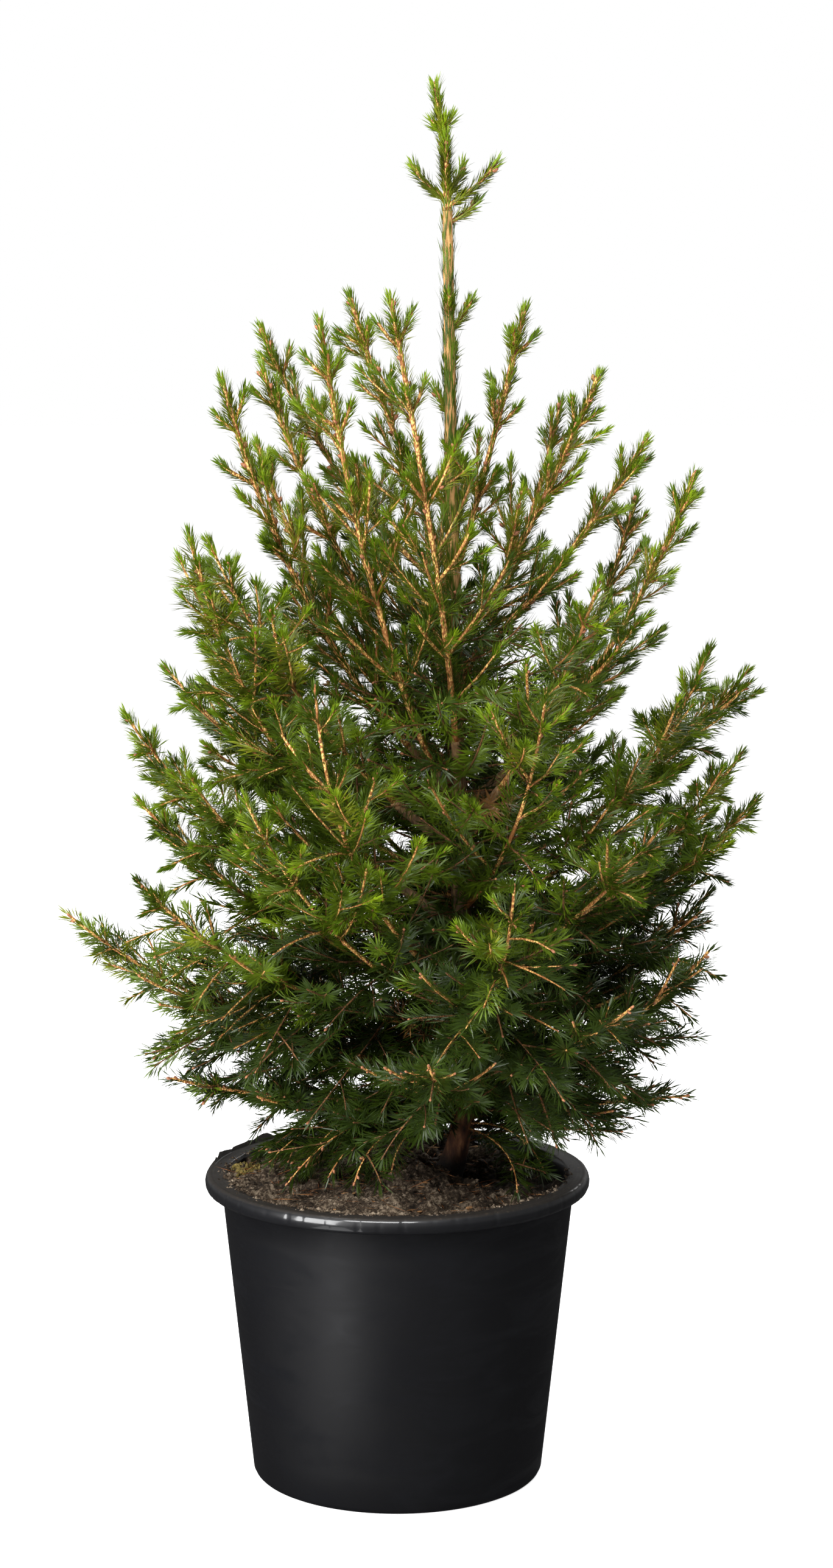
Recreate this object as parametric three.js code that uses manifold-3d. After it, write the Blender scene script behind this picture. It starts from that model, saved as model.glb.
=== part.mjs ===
// A young Norway spruce in its black nursery pot.
// Millimetres, +Z up, origin at the middle of the pot's underside, -Y towards the viewer.
import * as THREE from "three";
import { mergeVertices } from "three/addons/utils/BufferGeometryUtils.js";
import Module from "manifold-3d";

const wasm = await Module();
wasm.setup();

// clearance between neighbouring solids, the little more that a cut needs, and how close two corners
// of a skin may be before they join
const GAP = 0.3;
const CUT_GAP = 0.345;
const WELD = 1e-4;

// thin-walled nursery container with a rolled rim
const POT = {
  sides: 40,
  baseRadius: 105.5,
  baseCorner: 4,
  floor: 3.5,
  wall: 2.2,
  topRadius: 128.3,
  rimUnder: 212.5,
  rimRadius: 140,
  rimTop: 223.5,
  flangeInner: 124,
};

// rolled rim in section, from its underside round to the inner edge of its flat top: radius, height
const RIM_SECTION = [
  [POT.rimRadius - 3, POT.rimUnder - 0.4],
  [POT.rimRadius - 0.4, POT.rimUnder + 2.4],
  [POT.rimRadius, POT.rimUnder + 6],
  [POT.rimRadius - 2.8, POT.rimTop],
  [POT.rimRadius - 5, POT.rimTop],
  [POT.flangeInner, POT.rimTop - 1],
];

// stretch at the back left, given as turns about the pot's axis, where the roll has torn off: the flat
// top is left with the roll's ragged root standing up along its outer edge, a tooth to each toothTurn
const TEAR = { from: 113, to: 174, standing: 4.6, notch: 3.4, toothTurn: 20, rootCorners: [2, 3] };
const TORN_SECTION = [
  [POT.flangeInner + 3, POT.rimUnder + 4],
  [POT.rimRadius - 5.5, POT.rimTop - 3],
  [POT.rimRadius - 4, POT.rimTop],
  [POT.rimRadius - 4.4, POT.rimTop],
  [POT.rimRadius - 5.6, POT.rimTop],
  [POT.flangeInner, POT.rimTop - 1],
];

// soil surface, level with the flange at the left and in front, with a moss mound at the left, a hump
// before the trunk, which stands in a hollow, and a dip at the right
const SOIL = {
  level: 214,
  seatRadius: 17,
  rings: 6,
  rimClearance: 1.5,
  highest: 228,
  crumb: 1.6,
  crumbWaves: { along: 0.19, across: 0.23, slant: 0.06 },
  humps: [
    { x: -98, y: 4, width: 56, rise: 8 },
    { x: -18, y: -100, width: 66, rise: 7 },
    { x: 14, y: -30, width: 32, rise: 12 },
    { x: 98, y: 18, width: 44, rise: -9 },
  ],
};

// centre line of the trunk, from the flat cut at the soil to the fork under the leader's top
const TRUNK_STATIONS = [
  [33, 30, 204.3],
  [40, 27, 220],
  [47, 23, 250],
  [50, 20, 300],
  [47, 19, 420],
  [43, 20, 540],
  [40, 20, 652],
  [38, 20, 790],
  [36, 20, 914],
];
const TRUNK = {
  sides: 8,
  ringStep: 21,
  footRadius: 9.2,
  topRadius: 3.5,
  taperPower: 0.62,
  flare: 4.4,
  flareFall: 11,
  ridges: 4,
  ridgeDepth: 0.3,
  needlesFrom: 668,
  needlesTo: 896,
  needleLength: 13,
  needleLean: 27,
};

// bare wood of a bough next to the trunk
const LIMB = { sides: 6, ringStep: 24, footRadius: 4.4, tipRadius: 3.3 };

// height of a bough's knee, as a share of its whole rise
const KNEE_HEIGHT = 0.34;

// boughs from the top down: height on the trunk, compass turn (0 right, 90 back, 180 left, 270 front),
// reach from the trunk, height of the tip, how far out the knee stands (a share of the reach),
// sideways bow of the knee, and length of bare wood next to the trunk
const BOUGHS = [
  { height: 654, turn: 186, reach: 75, tip: 858, knee: 0.45, bow: 0, bare: 0 },
  { height: 650, turn: 355, reach: 52, tip: 850, knee: 0.42, bow: 0, bare: 0 },
  { height: 642, turn: 168, reach: 143, tip: 836, knee: 0.62, bow: 0, bare: 0 },
  { height: 647, turn: 84, reach: 60, tip: 742, knee: 0.5, bow: 0, bare: 0 },
  { height: 604, turn: 350, reach: 105, tip: 803, knee: 0.5, bow: 0, bare: 0 },
  { height: 584, turn: 8, reach: 142, tip: 756, knee: 0.5, bow: 0, bare: 0 },
  { height: 556, turn: 187, reach: 140, tip: 808, knee: 0.62, bow: 0, bare: 0 },
  { height: 572, turn: 52, reach: 132, tip: 782, knee: 0.6, bow: 0, bare: 0 },
  { height: 560, turn: 122, reach: 128, tip: 738, knee: 0.6, bow: 0, bare: 0 },
  { height: 500, turn: 241, reach: 102, tip: 855, knee: 0.7, bow: 34, bare: 45 },
  { height: 478, turn: 216, reach: 122, tip: 840, knee: 0.72, bow: 12, bare: 45 },
  { height: 498, turn: 190, reach: 171, tip: 800, knee: 0.7, bow: 0, bare: 50 },
  { height: 455, turn: 211, reach: 206, tip: 690, knee: 0.62, bow: 0, bare: 70 },
  { height: 484, turn: 3, reach: 171, tip: 733, knee: 0.66, bow: 0, bare: 60 },
  { height: 466, turn: 308, reach: 152, tip: 662, knee: 0.58, bow: 0, bare: 60 },
  { height: 492, turn: 98, reach: 182, tip: 735, knee: 0.66, bow: 0, bare: 0 },
  { height: 456, turn: 44, reach: 190, tip: 712, knee: 0.66, bow: 0, bare: 0 },
  { height: 514, turn: 148, reach: 176, tip: 752, knee: 0.66, bow: 0, bare: 0 },
  { height: 398, turn: 202, reach: 208, tip: 694, knee: 0.78, bow: 0, bare: 70 },
  { height: 428, turn: 168, reach: 224, tip: 588, knee: 0.6, bow: 0, bare: 0 },
  { height: 372, turn: 192, reach: 248, tip: 565, knee: 0.68, bow: 0, bare: 75 },
  { height: 412, turn: 290, reach: 158, tip: 592, knee: 0.8, bow: 0, bare: 0 },
  { height: 352, turn: 237, reach: 192, tip: 596, knee: 0.92, bow: 0, bare: 70 },
  { height: 394, turn: 343, reach: 182, tip: 612, knee: 0.7, bow: 0, bare: 0 },
  { height: 430, turn: 7, reach: 213, tip: 588, knee: 0.62, bow: 0, bare: 60 },
  { height: 420, turn: 66, reach: 218, tip: 612, knee: 0.66, bow: 0, bare: 0 },
  { height: 404, turn: 102, reach: 226, tip: 590, knee: 0.66, bow: 0, bare: 0 },
  { height: 416, turn: 138, reach: 222, tip: 622, knee: 0.66, bow: 0, bare: 0 },
  { height: 318, turn: 206, reach: 258, tip: 455, knee: 0.7, bow: 0, bare: 0 },
  { height: 352, turn: 359, reach: 214, tip: 497, knee: 0.6, bow: 0, bare: 0 },
  { height: 322, turn: 279, reach: 184, tip: 463, knee: 0.85, bow: 0, bare: 0 },
  { height: 362, turn: 312, reach: 200, tip: 500, knee: 0.62, bow: 0, bare: 0 },
  { height: 333, turn: 226, reach: 222, tip: 520, knee: 0.7, bow: 0, bare: 0 },
  { height: 330, turn: 32, reach: 226, tip: 470, knee: 0.62, bow: 0, bare: 0 },
  { height: 346, turn: 84, reach: 236, tip: 462, knee: 0.62, bow: 0, bare: 0 },
  { height: 284, turn: 187, reach: 290, tip: 417, knee: 0.66, bow: 0, bare: 75 },
  { height: 276, turn: 334, reach: 192, tip: 400, knee: 0.66, bow: 0, bare: 0 },
  { height: 262, turn: 352, reach: 168, tip: 279, knee: 0.5, bow: 0, bare: 0 },
  { height: 292, turn: 303, reach: 204, tip: 376, knee: 0.62, bow: 0, bare: 0 },
  { height: 270, turn: 262, reach: 205, tip: 342, knee: 0.6, bow: 0, bare: 0 },
  { height: 260, turn: 199, reach: 226, tip: 304, knee: 0.55, bow: 0, bare: 0 },
  { height: 274, turn: 133, reach: 222, tip: 372, knee: 0.6, bow: 0, bare: 0 },
  { height: 372, turn: 352, reach: 202, tip: 534, knee: 0.64, bow: 0, bare: 0 },
  { height: 340, turn: 178, reach: 240, tip: 494, knee: 0.62, bow: 0, bare: 0 },
  { height: 304, turn: 6, reach: 184, tip: 426, knee: 0.6, bow: 0, bare: 0 },
];

// needle sprays: high up they lie close to the shoot, lower down they are longer and spread wider
const SPRAY = {
  step: 33,
  footRadius: 3.3,
  tipRadius: 1.9,
  bud: 5,
  plainStart: 12,
  forkRoom: 9,
  high: { above: 700, length: 15, lean: 36 },
  low: { length: 20, lean: 50 },
  spread: 0.15,
  closing: 0.35,
  closingPower: 6,
};

// side twigs of a bough: where along it, how long, how they stand off and bend, and how far each
// of these strays by chance
const TWIGS = {
  spacing: 78,
  first: 0.3,
  last: 0.88,
  lengthShare: { high: 0.24, low: 0.42 },
  lengthExtra: 16,
  lengthStray: 0.24,
  shortest: 26,
  longest: 92,
  shorten: 0.8,
  angle: 46,
  angleStray: 8,
  rollStray: 14,
  bend: 0.55,
  sweep: 0.12,
  lift: 0.16,
  plainStart: 15,
  radius: 1.8,
  tipRadius: 1.5,
  clearance: 7,
  probes: [0.4, 0.7, 1],
};

// shoots round the leader's top: height where they leave it, turn, sideways reach and rise
const LEADER = {
  tip: [27, 20, 1001],
  footRadius: 3.5,
  sway: 2,
  shootKnee: 0.62,
  shootLift: 0.4,
  shoots: [
    { height: 921, turn: 172, reach: 22, rise: 24 },
    { height: 917, turn: 352, reach: 34, rise: 29 },
    { height: 926, turn: 268, reach: 11, rise: 38 },
    { height: 922, turn: 60, reach: 22, rise: 24 },
    { height: 968, turn: 200, reach: 14, rise: 12 },
    { height: 970, turn: 20, reach: 14, rise: 14 },
  ],
};

// room that a needle keeps between its own mass and the others, room that twigs and needles keep
// over and round the pot's rim, length of the short pieces that a curve is followed in, and the seed
// of the first random series and how far on the next one's is
const SPACE_MARGIN = 1.2;
const RIM_ROOM = 9;
const LINE_STEP = 12;
const CAPSULE_STEP = 16;
const SEED = 4211;
const SEED_STEP = 97;
const SERIES = { factor: 16807, modulus: 2147483647 };

// a stem that starts steeper than this has its rings turned from +Y, and a height on the trunk is
// found by halving its span this many times
const STEEP = 0.9;
const HALVINGS = 30;

const MATERIALS = {
  pot: { color: 0x17181a, roughness: 0.42, metalness: 0 },
  soil: { color: 0x3a3029, roughness: 0.95, metalness: 0 },
  bark: { color: 0x7d5a3c, roughness: 0.88, metalness: 0 },
  needles: { color: 0x3c5c22, roughness: 0.6, metalness: 0 },
};

// repeatable random numbers, one series for each bough
function seriesFrom(seed) {
  let state = seed;
  return () => {
    state = (state * SERIES.factor) % SERIES.modulus;
    return state / SERIES.modulus;
  };
}

function radians(degrees) {
  return THREE.MathUtils.degToRad(degrees);
}

// closed solid of a geometry, with shared corners joined and empty triangles dropped
function solidOf(geometry) {
  geometry.deleteAttribute("normal");
  geometry.deleteAttribute("uv");
  const merged = mergeVertices(geometry, WELD);
  const corners = merged.index.array;
  const faces = [];
  for (let i = 0; i < corners.length; i += 3) {
    const [a, b, c] = corners.subarray(i, i + 3);
    if (a !== b && b !== c && c !== a) faces.push(a, b, c);
  }
  return new wasm.Manifold(
    new wasm.Mesh({
      numProp: 3,
      vertProperties: new Float32Array(merged.attributes.position.array),
      triVerts: new Uint32Array(faces),
    }),
  );
}

function largestBody(solid) {
  return solid.decompose().sort((a, b) => b.volume() - a.volume())[0];
}

// named mesh of a solid, placed at its own anchor point
function meshOf(name, solid, look, anchor = new THREE.Vector3()) {
  const { vertProperties, triVerts } = solid.getMesh();
  const geometry = new THREE.BufferGeometry();
  geometry.setAttribute("position", new THREE.BufferAttribute(vertProperties, 3));
  geometry.setIndex(new THREE.BufferAttribute(triVerts, 1));
  geometry.translate(-anchor.x, -anchor.y, -anchor.z);
  geometry.computeVertexNormals();
  const mesh = new THREE.Mesh(geometry, new THREE.MeshStandardMaterial(look));
  mesh.name = name;
  mesh.position.copy(anchor);
  return mesh;
}

// radius of the pot's outer wall at a height
function wallRadius(z) {
  const { baseRadius, topRadius, rimUnder } = POT;
  return baseRadius + ((topRadius - baseRadius) * z) / rimUnder;
}

// turn of a point about the pot's axis, 0 to 360
function turnOf(x, y) {
  return (THREE.MathUtils.radToDeg(Math.atan2(y, x)) + 360) % 360;
}

// height of the ragged edge above the torn rim's flat top
function raggedHeight(turn) {
  const tooth = Math.abs(Math.sin((turn / TEAR.toothTurn) * Math.PI));
  return TEAR.standing - TEAR.notch * tooth;
}

// pot as one turned profile, whose rim takes its torn section along the tear
function potSolid() {
  const { sides, baseRadius, baseCorner, floor, wall, rimUnder } = POT;
  const outside = [
    [0, 0],
    [baseRadius - baseCorner, 0],
    [baseRadius - baseCorner / 4, baseCorner / 3],
    [wallRadius(baseCorner), baseCorner],
    [wallRadius(rimUnder), rimUnder],
  ];
  const profile = [
    ...outside,
    ...RIM_SECTION,
    [wallRadius(rimUnder) - wall, rimUnder - wall],
    [wallRadius(floor) - wall, floor],
    [0, floor],
  ];
  const points = profile.map(([r, z]) => new THREE.Vector2(r, z));
  const geometry = new THREE.LatheGeometry(points, sides).rotateX(Math.PI / 2);
  const place = geometry.attributes.position;
  for (let i = 0; i < place.count; i += 1) {
    const x = place.getX(i);
    const y = place.getY(i);
    const turn = turnOf(x, y);
    const inRim = (i % profile.length) - outside.length;
    const torn = turn > TEAR.from && turn < TEAR.to && TORN_SECTION[inRim];
    if (!torn) continue;
    const [radius, height] = torn;
    const root = TEAR.rootCorners.includes(inRim) ? raggedHeight(turn) : 0;
    const scale = radius / Math.hypot(x, y);
    place.setXYZ(i, x * scale, y * scale, height + root);
  }
  return solidOf(geometry);
}

// height of the soil's surface
function soilHeight(x, y) {
  let z = SOIL.level;
  for (const hump of SOIL.humps) {
    const distance = Math.hypot(x - hump.x, y - hump.y) / hump.width;
    z += hump.rise * Math.exp(-distance * distance);
  }
  const { along, across, slant } = SOIL.crumbWaves;
  return z + SOIL.crumb * Math.sin(x * along + y * slant) * Math.cos(y * across - x * slant);
}

// soil filling the pot: rings that run from the flat seat of the trunk out to the pot's wall
function soilSolid() {
  const [seatX, seatY, seatZ] = TRUNK_STATIONS[0];
  const { sides, floor, wall } = POT;
  const bottom = floor + GAP;
  const inner = (z) => wallRadius(z) - wall - 2 * GAP;
  const positions = [seatX, seatY, seatZ - GAP];
  const ringAt = (makePoint) => {
    for (let j = 0; j < sides; j += 1) {
      const angle = (2 * Math.PI * j) / sides;
      positions.push(...makePoint(Math.cos(angle), Math.sin(angle)));
    }
  };
  for (let ring = 0; ring <= SOIL.rings; ring += 1) {
    const share = ring / SOIL.rings;
    ringAt((c, s) => {
      const reach = POT.flangeInner - 2 * GAP;
      const x = THREE.MathUtils.lerp(seatX + SOIL.seatRadius * c, reach * c, share);
      const y = THREE.MathUtils.lerp(seatY + SOIL.seatRadius * s, reach * s, share);
      const highest = ring === SOIL.rings ? POT.rimTop - SOIL.rimClearance : SOIL.highest;
      const natural = Math.min(soilHeight(x, y), highest);
      return [x, y, ring === 0 ? seatZ - GAP : natural];
    });
  }
  ringAt((c, s) => [inner(bottom) * c, inner(bottom) * s, bottom]);
  const under = positions.length / 3;
  positions.push(0, 0, bottom);
  const faces = [];
  for (let j = 0; j < sides; j += 1) {
    const next = (j + 1) % sides;
    faces.push(0, 1 + j, 1 + next);
    for (let ring = 0; ring <= SOIL.rings; ring += 1) {
      const a = 1 + ring * sides;
      const b = a + sides;
      faces.push(a + j, b + j, b + next, a + j, b + next, a + next);
    }
    const last = 1 + (SOIL.rings + 1) * sides;
    faces.push(under, last + next, last + j);
  }
  const geometry = new THREE.BufferGeometry();
  geometry.setAttribute("position", new THREE.Float32BufferAttribute(positions, 3));
  geometry.setIndex(faces);
  return solidOf(geometry);
}

// solid stem along a line: rings turned half a side from one to the next, so that each triangle
// of its skin can be drawn out into a needle
function stemSolid({ line, steps, sides, radiusAt, tipLength, needleAt, flatFoot }) {
  const positions = [];
  const faces = [];
  const normal = new THREE.Vector3(0, 0, 1);
  const frames = [];
  for (let i = 0; i <= steps; i += 1) {
    const share = i / steps;
    const centre = line.getPointAt(share);
    const tangent = line.getTangentAt(share);
    if (i === 0 && Math.abs(tangent.z) > STEEP) normal.set(0, 1, 0);
    normal.addScaledVector(tangent, -normal.dot(tangent)).normalize();
    const across = new THREE.Vector3().crossVectors(tangent, normal);
    frames.push({ centre, tangent });
    for (let j = 0; j < sides; j += 1) {
      const angle = (2 * Math.PI * (j + i / 2)) / sides;
      const radius = radiusAt(share, angle, centre.z);
      const point = centre
        .clone()
        .addScaledVector(normal, radius * Math.cos(angle))
        .addScaledVector(across, radius * Math.sin(angle));
      if (flatFoot && i === 0) point.z = centre.z;
      positions.push(point.x, point.y, point.z);
    }
  }
  const corner = (index) => new THREE.Vector3().fromArray(positions, 3 * index);
  const skin = (a, b, c, i) => {
    const middle = corner(a).add(corner(b)).add(corner(c)).divideScalar(3);
    const apex = needleAt ? needleAt(middle, frames[i], frames[i + 1], (i + 0.5) / steps) : null;
    if (!apex) {
      faces.push(a, b, c);
      return;
    }
    const p = positions.length / 3;
    positions.push(apex.x, apex.y, apex.z);
    faces.push(a, b, p, b, c, p, c, a, p);
  };
  for (let i = 0; i < steps; i += 1) {
    for (let j = 0; j < sides; j += 1) {
      const a = i * sides + j;
      const nextA = i * sides + ((j + 1) % sides);
      const b = a + sides;
      const nextB = nextA + sides;
      skin(a, nextA, b, i);
      skin(nextA, nextB, b, i);
    }
  }
  const start = positions.length / 3;
  const { centre, tangent } = frames[steps];
  const end = centre.clone().addScaledVector(tangent, tipLength);
  positions.push(...frames[0].centre.toArray(), ...end.toArray());
  for (let j = 0; j < sides; j += 1) {
    const next = (j + 1) % sides;
    faces.push(start, next, j);
    faces.push(start + 1, steps * sides + j, steps * sides + next);
  }
  const geometry = new THREE.BufferGeometry();
  geometry.setAttribute("position", new THREE.Float32BufferAttribute(positions, 3));
  geometry.setIndex(faces);
  return solidOf(geometry);
}

const trunkLine = new THREE.CatmullRomCurve3(TRUNK_STATIONS.map((p) => new THREE.Vector3(...p)));

// point of the trunk's centre line at a height
function trunkPoint(height) {
  let low = 0;
  let high = 1;
  for (let i = 0; i < HALVINGS; i += 1) {
    const middle = (low + high) / 2;
    if (trunkLine.getPoint(middle).z < height) low = middle;
    else high = middle;
  }
  return trunkLine.getPoint(low);
}

// taper of the trunk, with its root flare in four ridges at the foot
function trunkRadius(share, angle, z) {
  const { footRadius, topRadius, taperPower, flare, flareFall, ridges, ridgeDepth } = TRUNK;
  const foot = TRUNK_STATIONS[0][2];
  const taper = footRadius + (topRadius - footRadius) * share ** taperPower;
  const ridge = 1 - ridgeDepth * (1 - Math.cos(ridges * angle));
  return taper + flare * ridge * Math.exp(-(z - foot) / flareFall);
}

// line of a bough: out from the trunk, then up from its knee
function boughLine({ height, turn, reach, tip, knee, bow }) {
  const foot = trunkPoint(height);
  const out = new THREE.Vector3(Math.cos(radians(turn)), Math.sin(radians(turn)), 0);
  const side = new THREE.Vector3(-out.y, out.x, 0);
  const bend = foot.clone().addScaledVector(out, reach * knee).addScaledVector(side, bow);
  bend.z = height + (tip - height) * KNEE_HEIGHT;
  const end = foot.clone().addScaledVector(out, reach);
  end.z = tip;
  return new THREE.QuadraticBezierCurve3(foot, bend, end);
}

// stretch of a line between two distances along it
function stretch(line, from, to) {
  const length = line.getLength();
  const count = Math.max(3, Math.round((to - from) / LINE_STEP));
  const points = [];
  for (let i = 0; i <= count; i += 1) {
    const along = from + ((to - from) * i) / count;
    points.push(line.getPointAt(Math.min(1, along / length)));
  }
  return new THREE.CatmullRomCurve3(points);
}

// every stem as short capsules, by which a mass knows the room around its own twigs
const capsules = [];

function claim(line, radiusAt, owner) {
  const count = Math.max(2, Math.round(line.getLength() / CAPSULE_STEP));
  for (let i = 0; i < count; i += 1) {
    const a = line.getPointAt(i / count);
    const b = line.getPointAt((i + 1) / count);
    capsules.push({ a, b, radius: radiusAt((i + 0.5) / count), owner, line });
  }
}

// distance from a point to the skin of a capsule
function distanceTo(point, { a, b, radius }) {
  const dx = b.x - a.x;
  const dy = b.y - a.y;
  const dz = b.z - a.z;
  const px = point.x - a.x;
  const py = point.y - a.y;
  const pz = point.z - a.z;
  const along = (px * dx + py * dy + pz * dz) / (dx * dx + dy * dy + dz * dz);
  const share = Math.min(1, Math.max(0, along));
  return Math.hypot(px - dx * share, py - dy * share, pz - dz * share) - radius;
}

// whether a point stays above the soil, clear of the pot
function abovePot(point) {
  const { rimTop, rimRadius } = POT;
  return point.z > rimTop + RIM_ROOM || Math.hypot(point.x, point.y) > rimRadius + RIM_ROOM;
}

// nearest other stem to a point
function roomAt(point, owner) {
  let room = Infinity;
  for (const capsule of capsules) {
    if (capsule.owner !== owner) room = Math.min(room, distanceTo(point, capsule));
  }
  return room;
}

// whether a point of a needle is nearer to its own twigs than to any other stem, and at least
// a given distance from the other twigs of its own mass
function inOwnSpace(point, owner, line, apart) {
  if (!abovePot(point)) return false;
  let own = Infinity;
  let other = Infinity;
  for (const capsule of capsules) {
    const distance = distanceTo(point, capsule);
    if (capsule.owner !== owner) other = Math.min(other, distance);
    else if (capsule.line !== line && distance < apart) return false;
    else own = Math.min(own, distance);
  }
  return other - own > SPACE_MARGIN;
}

// maker of needles for one stem: each leans forward from the middle of a triangle of its skin
function needleMaker({ owner, line, length, lean, random, plainUntil, steps }) {
  return (middle, near, far, share) => {
    const stretchy = 1 + SPRAY.spread * (2 * random() - 1);
    const lifted = lean * (1 - SPRAY.closing * share ** SPRAY.closingPower);
    const axis = near.tangent.clone().add(far.tangent).normalize();
    const centre = near.centre.clone().add(far.centre).multiplyScalar(0.5);
    const outward = middle.clone().sub(centre);
    outward.addScaledVector(axis, -outward.dot(axis)).normalize();
    if (share * steps < plainUntil) return null;
    const reach = axis
      .multiplyScalar(Math.cos(radians(lifted)))
      .addScaledVector(outward, Math.sin(radians(lifted)))
      .multiplyScalar(length * stretchy);
    const apex = middle.clone().add(reach);
    const half = middle.clone().addScaledVector(reach, 0.5);
    const free = inOwnSpace(middle, owner, line, SPRAY.forkRoom);
    return free && [half, apex].every((point) => inOwnSpace(point, owner, line, 1)) ? apex : null;
  };
}

// needle length and lean for a spray whose tip is at a height
function needlesFor(tipHeight) {
  return tipHeight > SPRAY.high.above ? SPRAY.high : SPRAY.low;
}

// stem of a spray with its needles
function sprayStem({ line, footRadius, tipRadius, plain, owner, random }) {
  const length = line.getLength();
  const steps = Math.max(2, Math.round(length / SPRAY.step));
  const { length: needle, lean } = needlesFor(line.getPoint(1).z);
  const plainUntil = (plain / length) * steps;
  return stemSolid({
    line,
    steps,
    sides: 3,
    radiusAt: (share) => footRadius + (tipRadius - footRadius) * share,
    tipLength: SPRAY.bud,
    needleAt: needleMaker({ owner, line, length: needle, lean, random, plainUntil, steps }),
  });
}

// side twigs of a bough, left and right in turn, longest near its foot; one that would come
// too close to another stem is shortened or left out
function twigLines(main, owner, random) {
  const length = main.getLength();
  const high = main.getPoint(1).z > SPRAY.high.above;
  const lengthShare = high ? TWIGS.lengthShare.high : TWIGS.lengthShare.low;
  const count = Math.max(2, Math.round((length * (TWIGS.last - TWIGS.first)) / TWIGS.spacing) + 1);
  const lines = [];
  for (let k = 0; k < count; k += 1) {
    const share = TWIGS.first + ((TWIGS.last - TWIGS.first) * (k + 0.5 * random())) / count;
    const size = 1 + TWIGS.lengthStray * (2 * random() - 1);
    const roll = radians(TWIGS.rollStray * (2 * random() - 1));
    const angle = radians(TWIGS.angle + TWIGS.angleStray * (2 * random() - 1));
    const foot = main.getPointAt(share);
    const forward = main.getTangentAt(share);
    const level = new THREE.Vector3(-forward.y, forward.x, 0).normalize();
    const upward = new THREE.Vector3().crossVectors(forward, level);
    const side = level.multiplyScalar((k % 2 ? 1 : -1) * Math.cos(roll));
    side.addScaledVector(upward, -Math.sin(roll));
    const heading = forward.clone().multiplyScalar(Math.cos(angle));
    heading.addScaledVector(side, Math.sin(angle));
    let reach = (1 - share) * length * lengthShare * size + TWIGS.lengthExtra;
    reach = Math.min(TWIGS.longest, reach);
    for (; reach >= TWIGS.shortest; reach *= TWIGS.shorten) {
      const middle = foot.clone().addScaledVector(heading, reach * TWIGS.bend);
      const tip = foot.clone().addScaledVector(heading, reach);
      tip.addScaledVector(forward, reach * TWIGS.sweep);
      tip.z += reach * TWIGS.lift;
      const line = new THREE.QuadraticBezierCurve3(foot, middle, tip);
      const probes = TWIGS.probes.map((s) => line.getPoint(s));
      probes.push(tip.clone().addScaledVector(heading, 2 * SPRAY.bud));
      const clear = (point) => abovePot(point) && roomAt(point, owner) > TWIGS.clearance;
      if (!probes.every(clear)) continue;
      lines.push(line);
      break;
    }
  }
  return lines;
}

// mass of needle sprays on a main stem and its twigs, cut clear of the trunk
function massSolid({ main, twigs, owner, random, footRadius, cutter }) {
  const parts = [
    sprayStem({ line: main, footRadius, tipRadius: SPRAY.tipRadius, plain: SPRAY.plainStart, owner, random }),
  ];
  const { radius, tipRadius, plainStart } = TWIGS;
  for (const line of twigs) {
    parts.push(sprayStem({ line, footRadius: radius, tipRadius, plain: plainStart, owner, random }));
  }
  let solid = wasm.Manifold.union(parts);
  if (cutter) solid = solid.subtract(cutter);
  return largestBody(solid);
}

const tree = new THREE.Group();
const container = new THREE.Group();
const trunkLength = trunkLine.getLength();
const trunkSteps = Math.round(trunkLength / TRUNK.ringStep);
const trunkTaper = (share) => trunkRadius(share, 0, trunkLine.getPointAt(share).z);

// trunk with a little extra all round, which cuts the foot of each bough and mass
const trunkCutter = stemSolid({
  line: trunkLine,
  steps: trunkSteps,
  sides: TRUNK.sides,
  radiusAt: (share, angle, z) => trunkRadius(share, angle, z) + CUT_GAP,
  tipLength: 0,
});

// main lines first, so that each mass knows the others
claim(trunkLine, trunkTaper, "trunk");
const plants = BOUGHS.map((bough, index) => {
  const line = boughLine(bough);
  const length = line.getLength() - SPRAY.bud;
  const number = String(index + 1).padStart(2, "0");
  const owner = `foliage_${number}`;
  const random = seriesFrom(SEED + SEED_STEP * index);
  const start = bough.bare ? bough.bare + GAP : 0;
  const main = stretch(line, start, length);
  const limb = bough.bare ? stretch(line, 0, bough.bare) : null;
  const thick = SPRAY.footRadius;
  claim(main, (share) => thick + (SPRAY.tipRadius - thick) * share, owner);
  if (limb) claim(limb, () => LIMB.footRadius, `bough_${number}`);
  return { number, owner, random, line, main, limb };
});

// leader's top: the last shoot, the ring of shoots at its foot and the buds' ring above
const leaderFoot = trunkLine.getPoint(1);
const leaderTip = new THREE.Vector3(...LEADER.tip);
const leaderStart = leaderFoot.clone();
leaderStart.z += GAP;
const leaderLine = new THREE.CatmullRomCurve3([
  leaderStart,
  leaderStart.clone().lerp(leaderTip, 0.5).add(new THREE.Vector3(LEADER.sway, 0, 0)),
  leaderTip,
]);
const leaderTwigs = LEADER.shoots.map(({ height, turn, reach, rise }) => {
  const share = (height - leaderStart.z) / (leaderTip.z - leaderStart.z);
  const foot = leaderLine.getPoint(Math.max(0, share));
  const out = new THREE.Vector3(Math.cos(radians(turn)), Math.sin(radians(turn)), 0);
  const middle = foot.clone().addScaledVector(out, reach * LEADER.shootKnee);
  middle.z += rise * LEADER.shootLift;
  const tip = foot.clone().addScaledVector(out, reach);
  tip.z += rise;
  return new THREE.QuadraticBezierCurve3(foot, middle, tip);
});
claim(leaderLine, () => LEADER.footRadius, "leader_top");
leaderTwigs.forEach((line) => claim(line, () => TWIGS.radius, "leader_top"));

for (const plant of plants) {
  plant.twigs = twigLines(plant.main, plant.owner, plant.random);
  plant.twigs.forEach((line) => claim(line, () => TWIGS.radius, plant.owner));
}

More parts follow.
